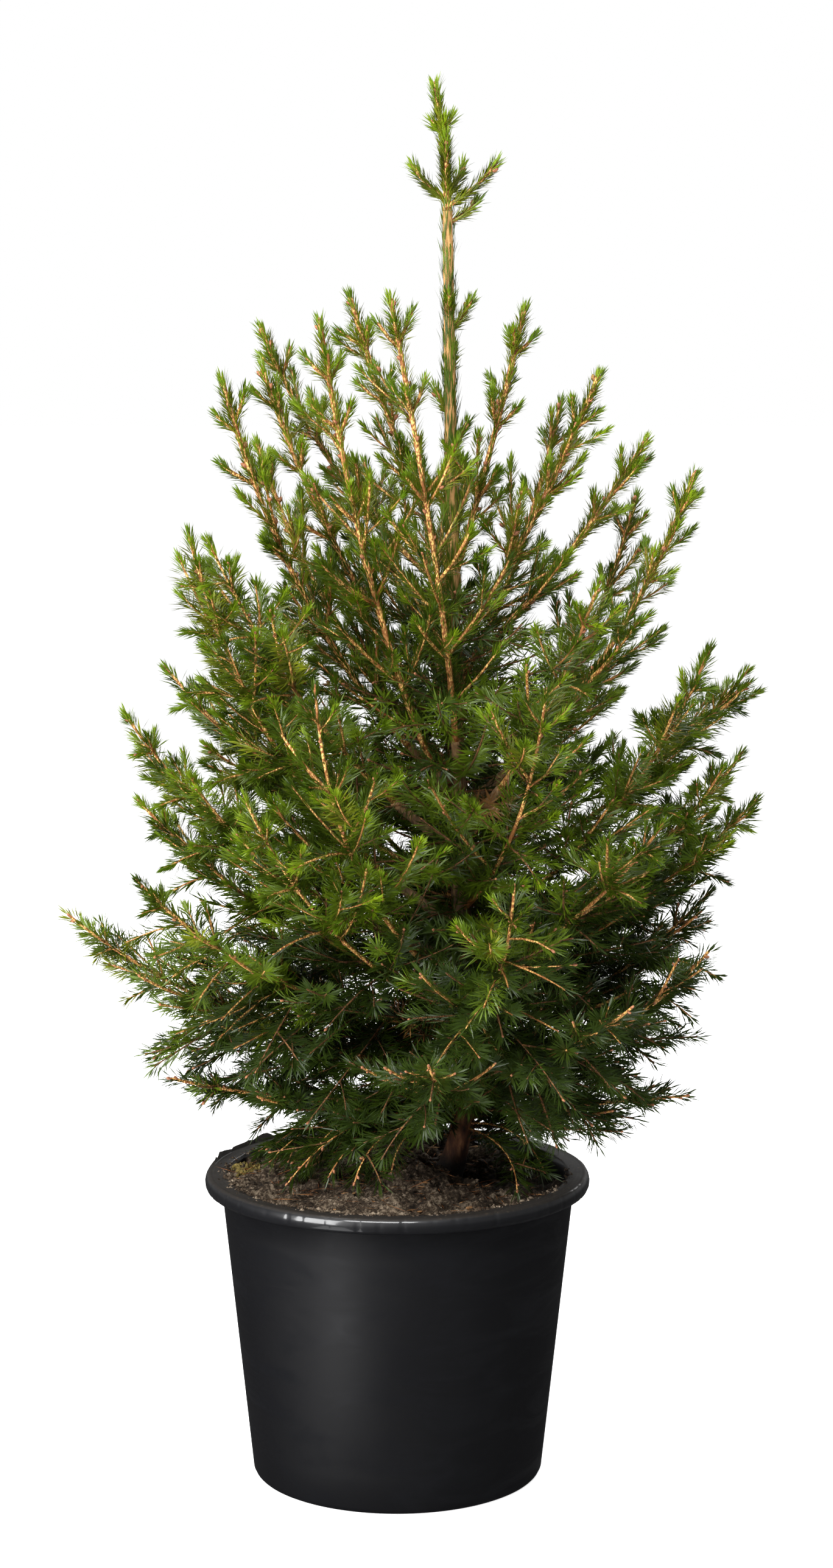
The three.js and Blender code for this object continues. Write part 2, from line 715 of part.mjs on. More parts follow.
const trunkNeedle = needleMaker({
  owner: "trunk",
  line: trunkLine,
  length: TRUNK.needleLength,
  lean: TRUNK.needleLean,
  random: seriesFrom(SEED),
  plainUntil: 0,
  steps: trunkSteps,
});
const trunk = stemSolid({
  line: trunkLine,
  steps: trunkSteps,
  sides: TRUNK.sides,
  radiusAt: trunkRadius,
  tipLength: 0,
  flatFoot: true,
  needleAt: (middle, near, far, share) =>
    near.centre.z > TRUNK.needlesFrom && near.centre.z < TRUNK.needlesTo
      ? trunkNeedle(middle, near, far, share)
      : null,
});
tree.add(meshOf("trunk", trunk, MATERIALS.bark, trunkPoint(TRUNK_STATIONS[0][2])));

for (const { number, owner, random, main, twigs, limb } of plants) {
  if (limb) {
    const taper = (share) => LIMB.footRadius + (LIMB.tipRadius - LIMB.footRadius) * share;
    const steps = Math.max(2, Math.round(limb.getLength() / LIMB.ringStep));
    const whole = stemSolid({ line: limb, steps, sides: LIMB.sides, radiusAt: taper, tipLength: 0 });
    const bough = largestBody(whole.subtract(trunkCutter));
    tree.add(meshOf(`bough_${number}`, bough, MATERIALS.bark, limb.getPoint(0)));
  }
  const cutter = limb ? null : trunkCutter;
  const mass = massSolid({ main, twigs, owner, random, footRadius: SPRAY.footRadius, cutter });
  tree.add(meshOf(owner, mass, MATERIALS.needles, main.getPoint(0)));
}

const leaderTop = massSolid({
  main: leaderLine,
  twigs: leaderTwigs,
  owner: "leader_top",
  random: seriesFrom(SEED + 1),
  footRadius: LEADER.footRadius,
  cutter: null,
});
tree.add(meshOf("leader_top", leaderTop, MATERIALS.needles, leaderStart));

container.add(meshOf("pot", potSolid(), MATERIALS.pot));
container.add(meshOf("soil", soilSolid(), MATERIALS.soil));

const plant = new THREE.Group();
plant.add(container, tree);
export default plant;
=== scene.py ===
import math
import bpy
import numpy as np
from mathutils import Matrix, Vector


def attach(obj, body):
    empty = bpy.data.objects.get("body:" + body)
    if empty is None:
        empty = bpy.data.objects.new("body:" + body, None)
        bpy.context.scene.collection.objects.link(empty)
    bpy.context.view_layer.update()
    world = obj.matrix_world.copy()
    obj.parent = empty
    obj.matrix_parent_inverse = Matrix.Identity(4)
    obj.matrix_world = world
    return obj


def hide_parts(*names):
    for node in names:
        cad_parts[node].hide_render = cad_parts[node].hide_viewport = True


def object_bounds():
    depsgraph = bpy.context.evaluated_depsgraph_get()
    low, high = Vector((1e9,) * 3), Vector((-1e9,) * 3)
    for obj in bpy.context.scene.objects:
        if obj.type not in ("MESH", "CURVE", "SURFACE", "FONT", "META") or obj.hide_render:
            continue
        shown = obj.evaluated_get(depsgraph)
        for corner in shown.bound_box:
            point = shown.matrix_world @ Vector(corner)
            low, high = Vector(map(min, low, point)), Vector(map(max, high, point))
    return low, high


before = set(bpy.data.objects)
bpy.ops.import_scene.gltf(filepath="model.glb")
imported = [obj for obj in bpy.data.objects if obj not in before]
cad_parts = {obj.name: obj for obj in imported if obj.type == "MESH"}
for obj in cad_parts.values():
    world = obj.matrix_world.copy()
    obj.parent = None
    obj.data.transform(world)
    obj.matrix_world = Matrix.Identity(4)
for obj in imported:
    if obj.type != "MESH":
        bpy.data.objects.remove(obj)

# A young Norway spruce in its black nursery pot. Lengths are millimetres, until meshPiece
# turns them into metres; the plant stands on z = 0 and faces -y.
metres = 0.001
fullTurn = 2 * math.pi
goldenTurn = 2.4  # from one shoot round a stem to the next
anyTurn = (0, 6)
black, white = (0, 0, 0, 1), (1, 1, 1, 1)
cadBox = [list(corner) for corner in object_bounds()]
world = bpy.context.scene.world or bpy.data.worlds.new("softLight")
bpy.context.scene.world = world
chance = np.random.RandomState(4211)
trianglesPerPiece = 190000
foliageNodes = [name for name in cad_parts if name.startswith("foliage_")]
boughNodes = [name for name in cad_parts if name.startswith("bough_")]


class Value:
    # a shader socket that takes part in Python expressions

    def __init__(self, graph, socket):
        self.graph = graph
        self.socket = socket

    def math(self, operation, first, second):
        return self.graph.node("ShaderNodeMath", {"operation": operation}, {0: first, 1: second})

    def __add__(self, other):
        return self.math("ADD", self, other)

    def __radd__(self, other):
        return self.math("ADD", other, self)

    def __rsub__(self, other):
        return self.math("SUBTRACT", other, self)

    def __mul__(self, other):
        return self.math("MULTIPLY", self, other)

    def __rmul__(self, other):
        return self.math("MULTIPLY", other, self)


class Graph:
    # a node tree whose nodes are made by a single method

    def __init__(self, tree):
        self.tree = tree

    def node(self, kind, settings=None, inputs=None, output=0):
        made = self.tree.nodes.new(kind)
        for label, value in (settings or {}).items():
            if label == "stops":
                self.fillRamp(made.color_ramp, value)
            else:
                setattr(made, label, value)
        for key, value in (inputs or {}).items():
            self.feed(made.inputs[key], value)
        return Value(self, made.outputs[output])

    def fillRamp(self, ramp, stops):
        while len(ramp.elements) < len(stops):
            ramp.elements.new(0.5)
        for element, (place, colour) in zip(ramp.elements, stops):
            element.position = place
            element.color = colour

    def feed(self, socket, value):
        if isinstance(value, Value):
            self.tree.links.new(value.socket, socket)
        else:
            socket.default_value = value


class Finish(Graph):
    # one material with its shader

    def __init__(self, name, **sockets):
        self.material = bpy.data.materials.new(name)
        self.material.use_nodes = True
        super().__init__(self.material.node_tree)
        self.shader = self.tree.nodes["Principled BSDF"]
        for label, value in sockets.items():
            self.shader.inputs[label].default_value = value

    def place(self):
        return self.node("ShaderNodeTexCoord", output="Object")

    def height(self):
        return self.node("ShaderNodeSeparateXYZ", inputs={0: self.place()}, output="Z")

    def stretched(self, upward):
        return self.node("ShaderNodeMapping", inputs={"Vector": self.place(), "Scale": (1, 1, upward)})

    def noise(self, scale, detail, roughness=0.55, vector=None, distortion=0.0):
        sockets = {"Scale": scale, "Detail": detail, "Roughness": roughness, "Distortion": distortion}
        sockets["Vector"] = vector or self.place()
        return self.node("ShaderNodeTexNoise", inputs=sockets)

    def ramp(self, factor, *stops):
        return self.node("ShaderNodeValToRGB", {"stops": stops}, {"Fac": factor})

    def rise(self, factor, start, end):
        # nothing below the start, all above the end
        return self.ramp(factor, (start, black), (end, white))

    def mix(self, factor, first, second):
        return self.node("ShaderNodeMix", {"data_type": "RGBA"}, {0: factor, 6: first, 7: second}, 2)

    def bump(self, height, strength, distance):
        sockets = {"Height": height, "Strength": strength, "Distance": distance}
        self.feed(self.shader.inputs["Normal"], self.node("ShaderNodeBump", inputs=sockets))

    def colour(self, value):
        self.feed(self.shader.inputs["Base Color"], value)

    def rough(self, value):
        self.feed(self.shader.inputs["Roughness"], value)


def paint(red, green, blue):
    # colour as it looks on a screen, 0 to 255, as the shader's linear light
    levels = [level / 255 for level in (red, green, blue)]
    linear = [v / 12.92 if v <= 0.04045 else ((v + 0.055) / 1.055) ** 2.4 for v in levels]
    return (*linear, 1.0)


def linked(name, data):
    thing = bpy.data.objects.new(name, data)
    bpy.context.scene.collection.objects.link(thing)
    return thing


def meshPiece(name, points, faces, finish, slot, replaced=(), smooth=True):
    # points and equal-sided faces as arrays; the piece rides with the plant
    mesh = bpy.data.meshes.new(name)
    corners = faces.shape[1]
    mesh.vertices.add(len(points))
    mesh.vertices.foreach_set("co", (points * metres).astype(np.float32).ravel())
    mesh.loops.add(faces.size)
    mesh.loops.foreach_set("vertex_index", faces.astype(np.int32).ravel())
    mesh.polygons.add(len(faces))
    mesh.polygons.foreach_set("loop_start", np.arange(len(faces), dtype=np.int32) * corners)
    mesh.polygons.foreach_set("use_smooth", np.full(len(faces), smooth))
    mesh.update(calc_edges=True)
    mesh.validate()
    mesh.materials.append(finish.material)
    piece = linked(name, mesh)
    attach(piece, "root")
    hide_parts(*replaced)
    print(name, len(faces))


def joined(meshes):
    # many small meshes as one
    points, faces, count = [], [], 0
    for somePoints, someFaces in meshes:
        points.append(somePoints)
        faces.append(someFaces + count)
        count += len(somePoints)
    return np.concatenate(points), np.concatenate(faces)


def unit(vectors):
    return vectors / np.maximum(np.linalg.norm(vectors, axis=-1, keepdims=True), 1e-9)


def outwards(turn):
    return np.array([math.cos(turn), math.sin(turn), 0])


def bell(distance, width):
    # 1 in the middle, falling off smoothly
    return np.exp(-((distance / width) ** 2))


rippleRule = {"paces": (0.7, 1.5), "height": 1.2, "waves": 9}


def ripples(points, size, seed):
    # soft random relief, about -1 to 1, with bumps of a given size
    draw = np.random.RandomState(seed)
    waves = rippleRule["waves"]
    ways = unit(draw.normal(size=(waves, 3))) * draw.uniform(*rippleRule["paces"], (waves, 1))
    total = np.sin(points @ (ways * fullTurn / size).T + draw.uniform(0, fullTurn, waves))
    return total.sum(axis=-1) / math.sqrt(waves) / rippleRule["height"]


series = {"factor": 16807, "modulus": 2147483647}


def seriesFrom(seed):
    # the source's own repeatable random numbers
    state = seed

    def draw():
        nonlocal state
        state = state * series["factor"] % series["modulus"]
        return state / series["modulus"]

    return draw


def bezier(foot, middle, tip, count=32):
    t = np.linspace(0, 1, count + 1)[:, None]
    return (1 - t) ** 2 * foot + 2 * t * (1 - t) * middle + t**2 * tip


def distances(line):
    return np.r_[0, np.cumsum(np.linalg.norm(np.diff(line, axis=0), axis=1))]


def lineLength(line):
    return distances(line)[-1]


def pointsAt(line, along):
    # points at given distances along a line
    lengths = distances(line)
    return np.stack([np.interp(along, lengths, line[:, axis]) for axis in range(3)], axis=-1)


def atHeight(line, height):
    return np.array([np.interp(height, line[:, 2], line[:, axis]) for axis in range(3)])


def tangentsAt(line, along, reach=1.5):
    along = np.asarray(along)
    return unit(pointsAt(line, along + reach) - pointsAt(line, along - reach))


def evenly(line, step, start=0.0, end=None):
    end = lineLength(line) if end is None else end
    count = max(2, round((end - start) / step))
    return pointsAt(line, np.linspace(start, end, count + 1))


def smoothThrough(stations, perSpan=24):
    # centripetal Catmull-Rom curve
    p = np.array(stations, dtype=float)
    p = np.vstack([2 * p[0] - p[1], p, 2 * p[-1] - p[-2]])
    spans = []
    for i in range(1, len(p) - 2):
        gaps = np.linalg.norm(np.diff(p[i - 1:i + 3], axis=0), axis=1) ** 0.5
        a, b, c = gaps
        start = (p[i] - p[i - 1]) / a - (p[i + 1] - p[i - 1]) / (a + b) + (p[i + 1] - p[i]) / b
        end = (p[i + 1] - p[i]) / b - (p[i + 2] - p[i]) / (b + c) + (p[i + 2] - p[i + 1]) / c
        t = np.linspace(0, 1, perSpan, endpoint=False)[:, None]
        rise = p[i + 1] - p[i]
        cubic = (start + end) * b - 2 * rise
        square = 3 * rise - (2 * start + end) * b
        spans.append(p[i] + start * b * t + square * t**2 + cubic * t**3)
    return np.vstack([*spans, p[-2]])


# trunk's centre line and taper, as in the source
trunk = {
    "stations": [
        (33, 30, 204.3),
        (40, 27, 220),
        (47, 23, 250),
        (50, 20, 300),
        (47, 19, 420),
        (43, 20, 540),
        (40, 20, 652),
        (38, 20, 790),
        (36, 20, 914),
    ],
    "footRadius": 9.2,
    "topRadius": 3.5,
    "taperPower": 0.62,
    "flare": 4.4,
    "flareFall": 11,
    "ridges": 4,
    "ridgeDepth": 0.3,
}
trunkLine = smoothThrough(trunk["stations"])
trunkFoot = trunk["stations"][0][2]


def trunkPoint(height):
    return atHeight(trunkLine, height)


def trunkRadius(share, turn, z):
    foot, top = trunk["footRadius"], trunk["topRadius"]
    taper = foot + (top - foot) * share ** trunk["taperPower"]
    ridge = 1 - trunk["ridgeDepth"] * (1 - np.cos(trunk["ridges"] * turn))
    return taper + trunk["flare"] * ridge * np.exp(-(z - trunkFoot) / trunk["flareFall"])


# boughs from the top down, as in the source: height on the trunk, compass turn, reach from the
# trunk, height of the tip, how far out the knee stands, its sideways bow, and bare wood at the foot
boughs = [
    (654, 186, 75, 858, 0.45, 0, 0),
    (650, 355, 52, 850, 0.42, 0, 0),
    (642, 168, 143, 836, 0.62, 0, 0),
    (647, 84, 60, 742, 0.5, 0, 0),
    (604, 350, 105, 803, 0.5, 0, 0),
    (584, 8, 142, 756, 0.5, 0, 0),
    (556, 187, 140, 808, 0.62, 0, 0),
    (572, 52, 132, 782, 0.6, 0, 0),
    (560, 122, 128, 738, 0.6, 0, 0),
    (500, 241, 102, 855, 0.7, 34, 45),
    (478, 216, 122, 840, 0.72, 12, 45),
    (498, 190, 171, 800, 0.7, 0, 50),
    (455, 211, 206, 690, 0.62, 0, 70),
    (484, 3, 171, 733, 0.66, 0, 60),
    (466, 308, 152, 662, 0.58, 0, 60),
    (492, 98, 182, 735, 0.66, 0, 0),
    (456, 44, 190, 712, 0.66, 0, 0),
    (514, 148, 176, 752, 0.66, 0, 0),
    (398, 202, 208, 694, 0.78, 0, 70),
    (428, 168, 224, 588, 0.6, 0, 0),
    (372, 192, 248, 565, 0.68, 0, 75),
    (412, 290, 158, 592, 0.8, 0, 0),
    (352, 237, 192, 596, 0.92, 0, 70),
    (394, 343, 182, 612, 0.7, 0, 0),
    (430, 7, 213, 588, 0.62, 0, 60),
    (420, 66, 218, 612, 0.66, 0, 0),
    (404, 102, 226, 590, 0.66, 0, 0),
    (416, 138, 222, 622, 0.66, 0, 0),
    (318, 206, 258, 455, 0.7, 0, 0),
    (352, 359, 214, 497, 0.6, 0, 0),
    (322, 279, 184, 463, 0.85, 0, 0),
    (362, 312, 200, 500, 0.62, 0, 0),
    (333, 226, 222, 520, 0.7, 0, 0),
    (330, 32, 226, 470, 0.62, 0, 0),
    (346, 84, 236, 462, 0.62, 0, 0),
    (284, 187, 290, 417, 0.66, 0, 75),
    (276, 334, 192, 400, 0.66, 0, 0),
    (262, 352, 168, 279, 0.5, 0, 0),
    (292, 303, 204, 376, 0.62, 0, 0),
    (270, 262, 205, 342, 0.6, 0, 0),
    (260, 199, 226, 304, 0.55, 0, 0),
    (274, 133, 222, 372, 0.6, 0, 0),
    (372, 352, 202, 534, 0.64, 0, 0),
    (340, 178, 240, 494, 0.62, 0, 0),
    (304, 6, 184, 426, 0.6, 0, 0),
]

# the source's rule for side twigs, and what keeps them clear of the pot and of each other
twigRule = {
    "seed": 4211,
    "seedStep": 97,
    "kneeHeight": 0.34,
    "spans": 64,
    "spacing": 78,
    "first": 0.3,
    "last": 0.88,
    "highAbove": 700,
    "lengthShareHigh": 0.24,
    "lengthShareLow": 0.42,
    "lengthExtra": 16,
    "lengthStray": 0.24,
    "shortest": 26,
    "longest": 92,
    "shorten": 0.8,
    "angle": 46,
    "angleStray": 8,
    "rollStray": 14,
    "bend": 0.55,
    "sweep": 0.12,
    "lift": 0.16,
    "radius": 1.8,
    "clearance": 7,
    "probes": (0.4, 0.7, 1),
    "rimTop": 223.5,
    "rimRadius": 140,
    "rimRoom": 9,
    "bud": 5,
    "capsuleStep": 16,
    "footRadius": 3.3,
    "tipRadius": 1.9,
    "limbRadius": 4.4,
}

# how a finer shoot leaves its stem and bends, and where it may be: clear of the pot's rim and soil,
# inside the solids' box, and inside the outline that the crown has near its foot
shootRule = {
    "angle": 45,
    "angles": (-8, 8),
    "spans": 12,
    "knee": 0.55,
    "ahead": 0.96,
    "sweep": 0.13,
    "rise": 0.08,
    "rimClear": 4,
    "mouth": 110,
    "soilClear": 226,
    "boxRoom": 4,
    "skirtCentre": (12, 14),
    "skirtHeights": (225, 248, 268, 290, 310, 355, 410, 450, 500),
    "skirtReach": (112, 132, 178, 192, 198, 221, 246, 252, 400),
}

# a gap in front through which the trunk's foot shows: where it stands, its half width, the heights
# that show on the trunk, and how far a line of sight falls on its way back
footGap = {"x": 50, "y": 20, "halfWidth": 17, "heights": (212, 262), "front": 8, "fall": 0.2565}

capsules = {"a": np.zeros((0, 3)), "b": np.zeros((0, 3)), "radius": np.zeros(0), "owner": np.zeros(0)}


def claim(line, radii, owner):
    # a stem as short capsules, by which a new twig knows the room around it
    count = max(2, round(lineLength(line) / twigRule["capsuleStep"]))
    points = evenly(line, lineLength(line) / count)
    middles = (np.arange(count) + 0.5) / count
    capsules["a"] = np.vstack([capsules["a"], points[:-1]])
    capsules["b"] = np.vstack([capsules["b"], points[1:]])
    capsules["radius"] = np.r_[capsules["radius"], np.interp(middles, [0, 1], radii)]
    capsules["owner"] = np.r_[capsules["owner"], np.full(count, owner)]


def roomAt(point, owner):
    others = capsules["owner"] != owner
    a = capsules["a"][others]
    way = capsules["b"][others] - a
    share = np.clip(((point - a) * way).sum(1) / (way**2).sum(1), 0, 1)
    return (np.linalg.norm(point - a - way * share[:, None], axis=1) - capsules["radius"][others]).min()


def abovePot(point, room):
    return point[2] > twigRule["rimTop"] + room or math.hypot(*point[:2]) > twigRule["rimRadius"] + room


def between(pair):
    # a random number from a rule's least and most
    return chance.uniform(*pair)


def boughLine(height, turn, reach, tip, knee, bow):
    # out from the trunk, then up from its knee
    foot = trunkPoint(height)
    out = outwards(math.radians(turn))
    side = np.array([-out[1], out[0], 0])
    bend = foot + out * reach * knee + side * bow
    bend[2] = height + (tip - height) * twigRule["kneeHeight"]
    end = foot + out * reach
    end[2] = tip
    return bezier(foot, bend, end, twigRule["spans"])


def headingFrom(forward, turnAway, roll):
    # direction that leaves a stem at an angle, rolled about it from its level side
    level = unit(np.array([-forward[1], forward[0], 1e-6]))
    upward = np.cross(forward, level)
    side = level * math.cos(roll) + upward * math.sin(roll)
    return forward * math.cos(turnAway) + side * math.sin(turnAway)


def twigLines(main, owner):
    # the source's side twigs of a bough, left and right in turn
    draw = seriesFrom(twigRule["seed"] + twigRule["seedStep"] * owner)
    length = lineLength(main)
    high = main[-1, 2] > twigRule["highAbove"]
    lengthShare = twigRule["lengthShareHigh"] if high else twigRule["lengthShareLow"]
    first, span = twigRule["first"], twigRule["last"] - twigRule["first"]
    count = max(2, round(length * span / twigRule["spacing"]) + 1)
    lines = []
    for k in range(count):
        share = first + span * (k + 0.5 * draw()) / count
        size = 1 + twigRule["lengthStray"] * (2 * draw() - 1)
        roll = math.radians(twigRule["rollStray"] * (2 * draw() - 1))
        angle = math.radians(twigRule["angle"] + twigRule["angleStray"] * (2 * draw() - 1))
        foot = pointsAt(main, share * length)
        forward = tangentsAt(main, share * length)
        level = unit(np.array([-forward[1], forward[0], 0]))
        upward = np.cross(forward, level)
        side = level * (1 if k % 2 else -1) * math.cos(roll) - upward * math.sin(roll)
        heading = forward * math.cos(angle) + side * math.sin(angle)
        reach = (1 - share) * length * lengthShare * size + twigRule["lengthExtra"]
        reach = min(twigRule["longest"], reach)
        while reach >= twigRule["shortest"]:
            middle = foot + heading * reach * twigRule["bend"]
            tip = foot + heading * reach + forward * reach * twigRule["sweep"]
            tip[2] += reach * twigRule["lift"]
            line = bezier(foot, middle, tip)
            probes = [pointsAt(line, lineLength(line) * s) for s in twigRule["probes"]]
            probes.append(tip + heading * 2 * twigRule["bud"])
            room = twigRule["rimRoom"]
            if all(abovePot(p, room) and roomAt(p, owner) > twigRule["clearance"] for p in probes):
                lines.append(line)
                claim(line, (twigRule["radius"], twigRule["radius"]), owner)
                break
            reach *= twigRule["shorten"]
    return lines


# radii of each kind of stem at its foot and tip
stemRadii = {
    "main": (2.4, 1.0),
    "spire": (2.7, 1.75),
    "twig": (1.35, 0.85),
    "ring": (1.0, 0.65),
    "spireRing": (1.6, 1.15),
    "side": (0.8, 0.55),
    "single": (0.9, 0.6),
    "spireSingle": (1.3, 1.0),
    "hanging": (0.9, 0.58),
    "inner": (1.1, 0.62),
    "front": (0.9, 0.55),
    "leaderTop": (3.3, 1.8),
    "leaderShoot": (1.9, 1.4),
}
shoots = []


def addShoot(line, kind, level, high, bareTo=0.0):
    foot, tip = stemRadii[kind]
    shoot = {"line": line, "kind": kind, "foot": foot, "tip": tip}
    shoots.append(shoot | {"level": level, "high": high, "bareTo": bareTo})


def shootLine(stem, along, angle, roll, reach, rise=shootRule["rise"]):
    # a finer shoot: it leaves at an angle, bends a little forward, and rises or droops
    foot = pointsAt(stem, along)
    forward = tangentsAt(stem, along)
    heading = headingFrom(forward, math.radians(angle), roll)
    middle = foot + heading * reach * shootRule["knee"]
    tip = foot + heading * reach * shootRule["ahead"] + forward * reach * shootRule["sweep"]
    tip[2] += reach * rise
    return bezier(foot, middle, tip, shootRule["spans"])


def fits(line):
    # clear of the pot, above its rim, outside it or above the soil in its mouth, inside the outline
    # that the crown has near its foot, and inside the solids' reach
    out = np.hypot(line[2:, 0], line[2:, 1])
    height = line[2:, 2]
    over = height > twigRule["rimTop"] + shootRule["rimClear"]
    beside = out > twigRule["rimRadius"] + twigRule["rimRoom"]
    within = (out < shootRule["mouth"]) & (height > shootRule["soilClear"])
    centreX, centreY = shootRule["skirtCentre"]
    spread = np.hypot(line[:, 0] - centreX, line[:, 1] - centreY)
    inCrown = spread < np.interp(line[:, 2], shootRule["skirtHeights"], shootRule["skirtReach"])
    seen = line[:, 2] - footGap["fall"] * (footGap["y"] - line[:, 1])
    inGap = (line[:, 1] < footGap["front"]) & (np.abs(line[:, 0] - footGap["x"]) < footGap["halfWidth"])
    inGap &= (seen > footGap["heights"][0]) & (seen < footGap["heights"][1])
    low, high = np.array(cadBox) / metres
    inBox = np.all((line > low + shootRule["boxRoom"]) & (line < high - shootRule["boxRoom"]))
    return bool(np.all(over | beside | within) and np.all(inCrown) and inBox and not inGap.any())


# side shoots: how close they stand, their length by what is left of the stem, and which branch again
sideRule = {
    "gap": 32,
    "gaps": (0.7, 1.35),
    "share": 0.5,
    "shares": (0.7, 1.2),
    "extra": 12,
    "extras": (0.8, 1.3),
    "rolls": (-20, 20),
    "shortest": 18,
    "endRoom": 22,
    "branches": 40,
    "branchFrom": 14,
    "deepest": 3,
}


def growSides(stem, level, high, start):
    # small shoots left and right along a twig
    rule = sideRule
    length = lineLength(stem)
    along = start
    side = chance.choice([0, 1])
    while along < length - rule["endRoom"]:
        rest = (length - along) * rule["share"]
        reach = rest * between(rule["shares"]) + rule["extra"] * between(rule["extras"])
        angle = shootRule["angle"] + between(shootRule["angles"])
        roll = math.pi * side + math.radians(between(rule["rolls"]))
        side = 1 - side
        line = shootLine(stem, along, angle, roll, reach)
        if reach >= rule["shortest"] and fits(line):
            addShoot(line, "side", level, high)
            if reach > rule["branches"] and level < rule["deepest"]:
                growSides(line, level + 1, high, rule["branchFrom"])
        along += rule["gap"] * between(rule["gaps"])


# high boughs are slim spires with a few short shoots, low ones carry long flat sprays; deep in the
# crown the spires' shoots are longer again
ringRule = {
    "gaps": (34, 46, 54, 60, 64, 64, 64),
    "gapShares": (0.85, 1.15),
    "room": 25,
    "reaches": (0.7, 1.15),
    "longest": (0.85, 1),
    "shift": (-4, 4),
    "branches": 38,
    "branchFrom": 15,
    "high": {"count": 3, "turned": anyTurn, "share": 0.07, "extra": 17, "longest": 30},
    "low": {"count": 4, "turned": (-0.3, 0.3), "share": 0.52, "extra": 5, "longest": 110},
    "lowRolls": (0, 1, 0.5, 1.5),
    "lowShares": (1, 1, 0.55, 0.66),
    "lowRises": (0.02, 0.02, 0.02, -0.3),
}
deepSpire = {"from": 140, "share": 0.38, "extra": 30, "longest": 76, "gap": 0.6}


def growRings(main, high, bare):
    # rings of shoots at the yearly nodes of a bough
    rule = ringRule
    kind = rule["high" if high else "low"]
    length = lineLength(main)
    fromTip = 0
    for gap in rule["gaps"]:
        fromTip += gap * between(rule["gapShares"])
        along = length - fromTip
        if along < bare + rule["room"]:
            break
        turned = between(kind["turned"])
        longest = kind["longest"]
        usual = fromTip * kind["share"] + kind["extra"]
        if high and fromTip > deepSpire["from"]:
            longest = deepSpire["longest"]
            usual = (fromTip - deepSpire["from"]) * deepSpire["share"] + deepSpire["extra"]
        for k in range(kind["count"]):
            reach = usual * between(rule["reaches"])
            reach = min(longest * between(rule["longest"]), reach)
            roll = turned + fullTurn * k / kind["count"]
            rise = shootRule["rise"]
            if not high:
                roll = turned + math.pi * rule["lowRolls"][k]
                reach *= rule["lowShares"][k]
                rise = rule["lowRises"][k]
            angle = shootRule["angle"] + between(shootRule["angles"])
            line = shootLine(main, along + between(rule["shift"]), angle, roll, reach, rise)
            if fits(line):
                addShoot(line, "spireRing" if high else "ring", 2, high)
                if reach > rule["branches"]:
                    growSides(line, 3, high, rule["branchFrom"])


# single shoots: where they stand between a bough's foot and its plain end, and their length
singleRule = {
    "from": 20,
    "end": 104,
    "share": 0.3,
    "extra": 10,
    "shares": (0.6, 1.15),
    "angles": (-8, 10),
    "rolls": (-0.7, 0.7),
    "gaps": (0.7, 1.4),
    "high": {"longest": 18, "least": 11, "gap": 50},
    "low": {"longest": 64, "least": 18, "gap": 42},
}


def growSingles(main, high, bare):
    # single shoots between the rings, all round an upright bough and mostly level on a low one
    rule = singleRule
    kind = rule["high" if high else "low"]
    length = lineLength(main)
    along = bare + rule["from"]
    turn = between(anyTurn)
    while along < length - rule["end"]:
        rest = length - along
        deep = high and rest > deepSpire["from"]
        longest = deepSpire["longest"] if deep else kind["longest"]
        reach = min(longest, rest * rule["share"] + rule["extra"]) * between(rule["shares"])
        turn += goldenTurn
        roll = turn if high else math.pi * round(turn / math.pi) + between(rule["rolls"])
        angle = shootRule["angle"] + between(rule["angles"])
        line = shootLine(main, along, angle, roll, reach)
        if reach > kind["least"] and fits(line):
            addShoot(line, "spireSingle" if high else "single", 3, high)
        along += kind["gap"] * between(rule["gaps"]) * (deepSpire["gap"] if deep else 1)


# hanging shoots: where they stand, their length, and their turns about the bough, left and right
hangRule = {
    "from": 16,
    "end": 40,
    "gap": 13,
    "gaps": (0.7, 1.4),
    "length": (48, 104),
    "full": 90,
    "least": 0.25,
    "angle": 52,
    "angles": (-10, 10),
    "turns": (1.25, 1.75),
    "rolls": (-0.35, 0.35),
    "rise": (-0.42, -0.05),
    "branches": 55,
    "branchFrom": 18,
}


def growHanging(main, bare):
    # the lowest boughs also carry shoots that hang below them and close the crown's foot
    rule = hangRule
    length = lineLength(main)
    along = bare + rule["from"]
    side = 0
    while along < length - rule["end"]:
        reach = between(rule["length"]) * min(1, (length - along) / rule["full"] + rule["least"])
        side = 1 - side
        roll = math.pi * rule["turns"][side] + between(rule["rolls"])
        angle = rule["angle"] + between(rule["angles"])
        line = shootLine(main, along, angle, roll, reach, between(rule["rise"]))
        if fits(line):
            addShoot(line, "hanging", 2, False)
            if reach > rule["branches"]:
                growSides(line, 3, False, rule["branchFrom"])
        along += rule["gap"] * between(rule["gaps"])


def trunkShoot(foot, turn, reach, rise, knee, lift, spans):
    # a shoot that leaves the trunk or the leader towards a compass turn
    out = outwards(turn)
    middle = foot + out * reach * knee
    middle[2] += lift
    tip = foot + out * reach
    tip[2] += rise
    return bezier(foot, middle, tip, spans)


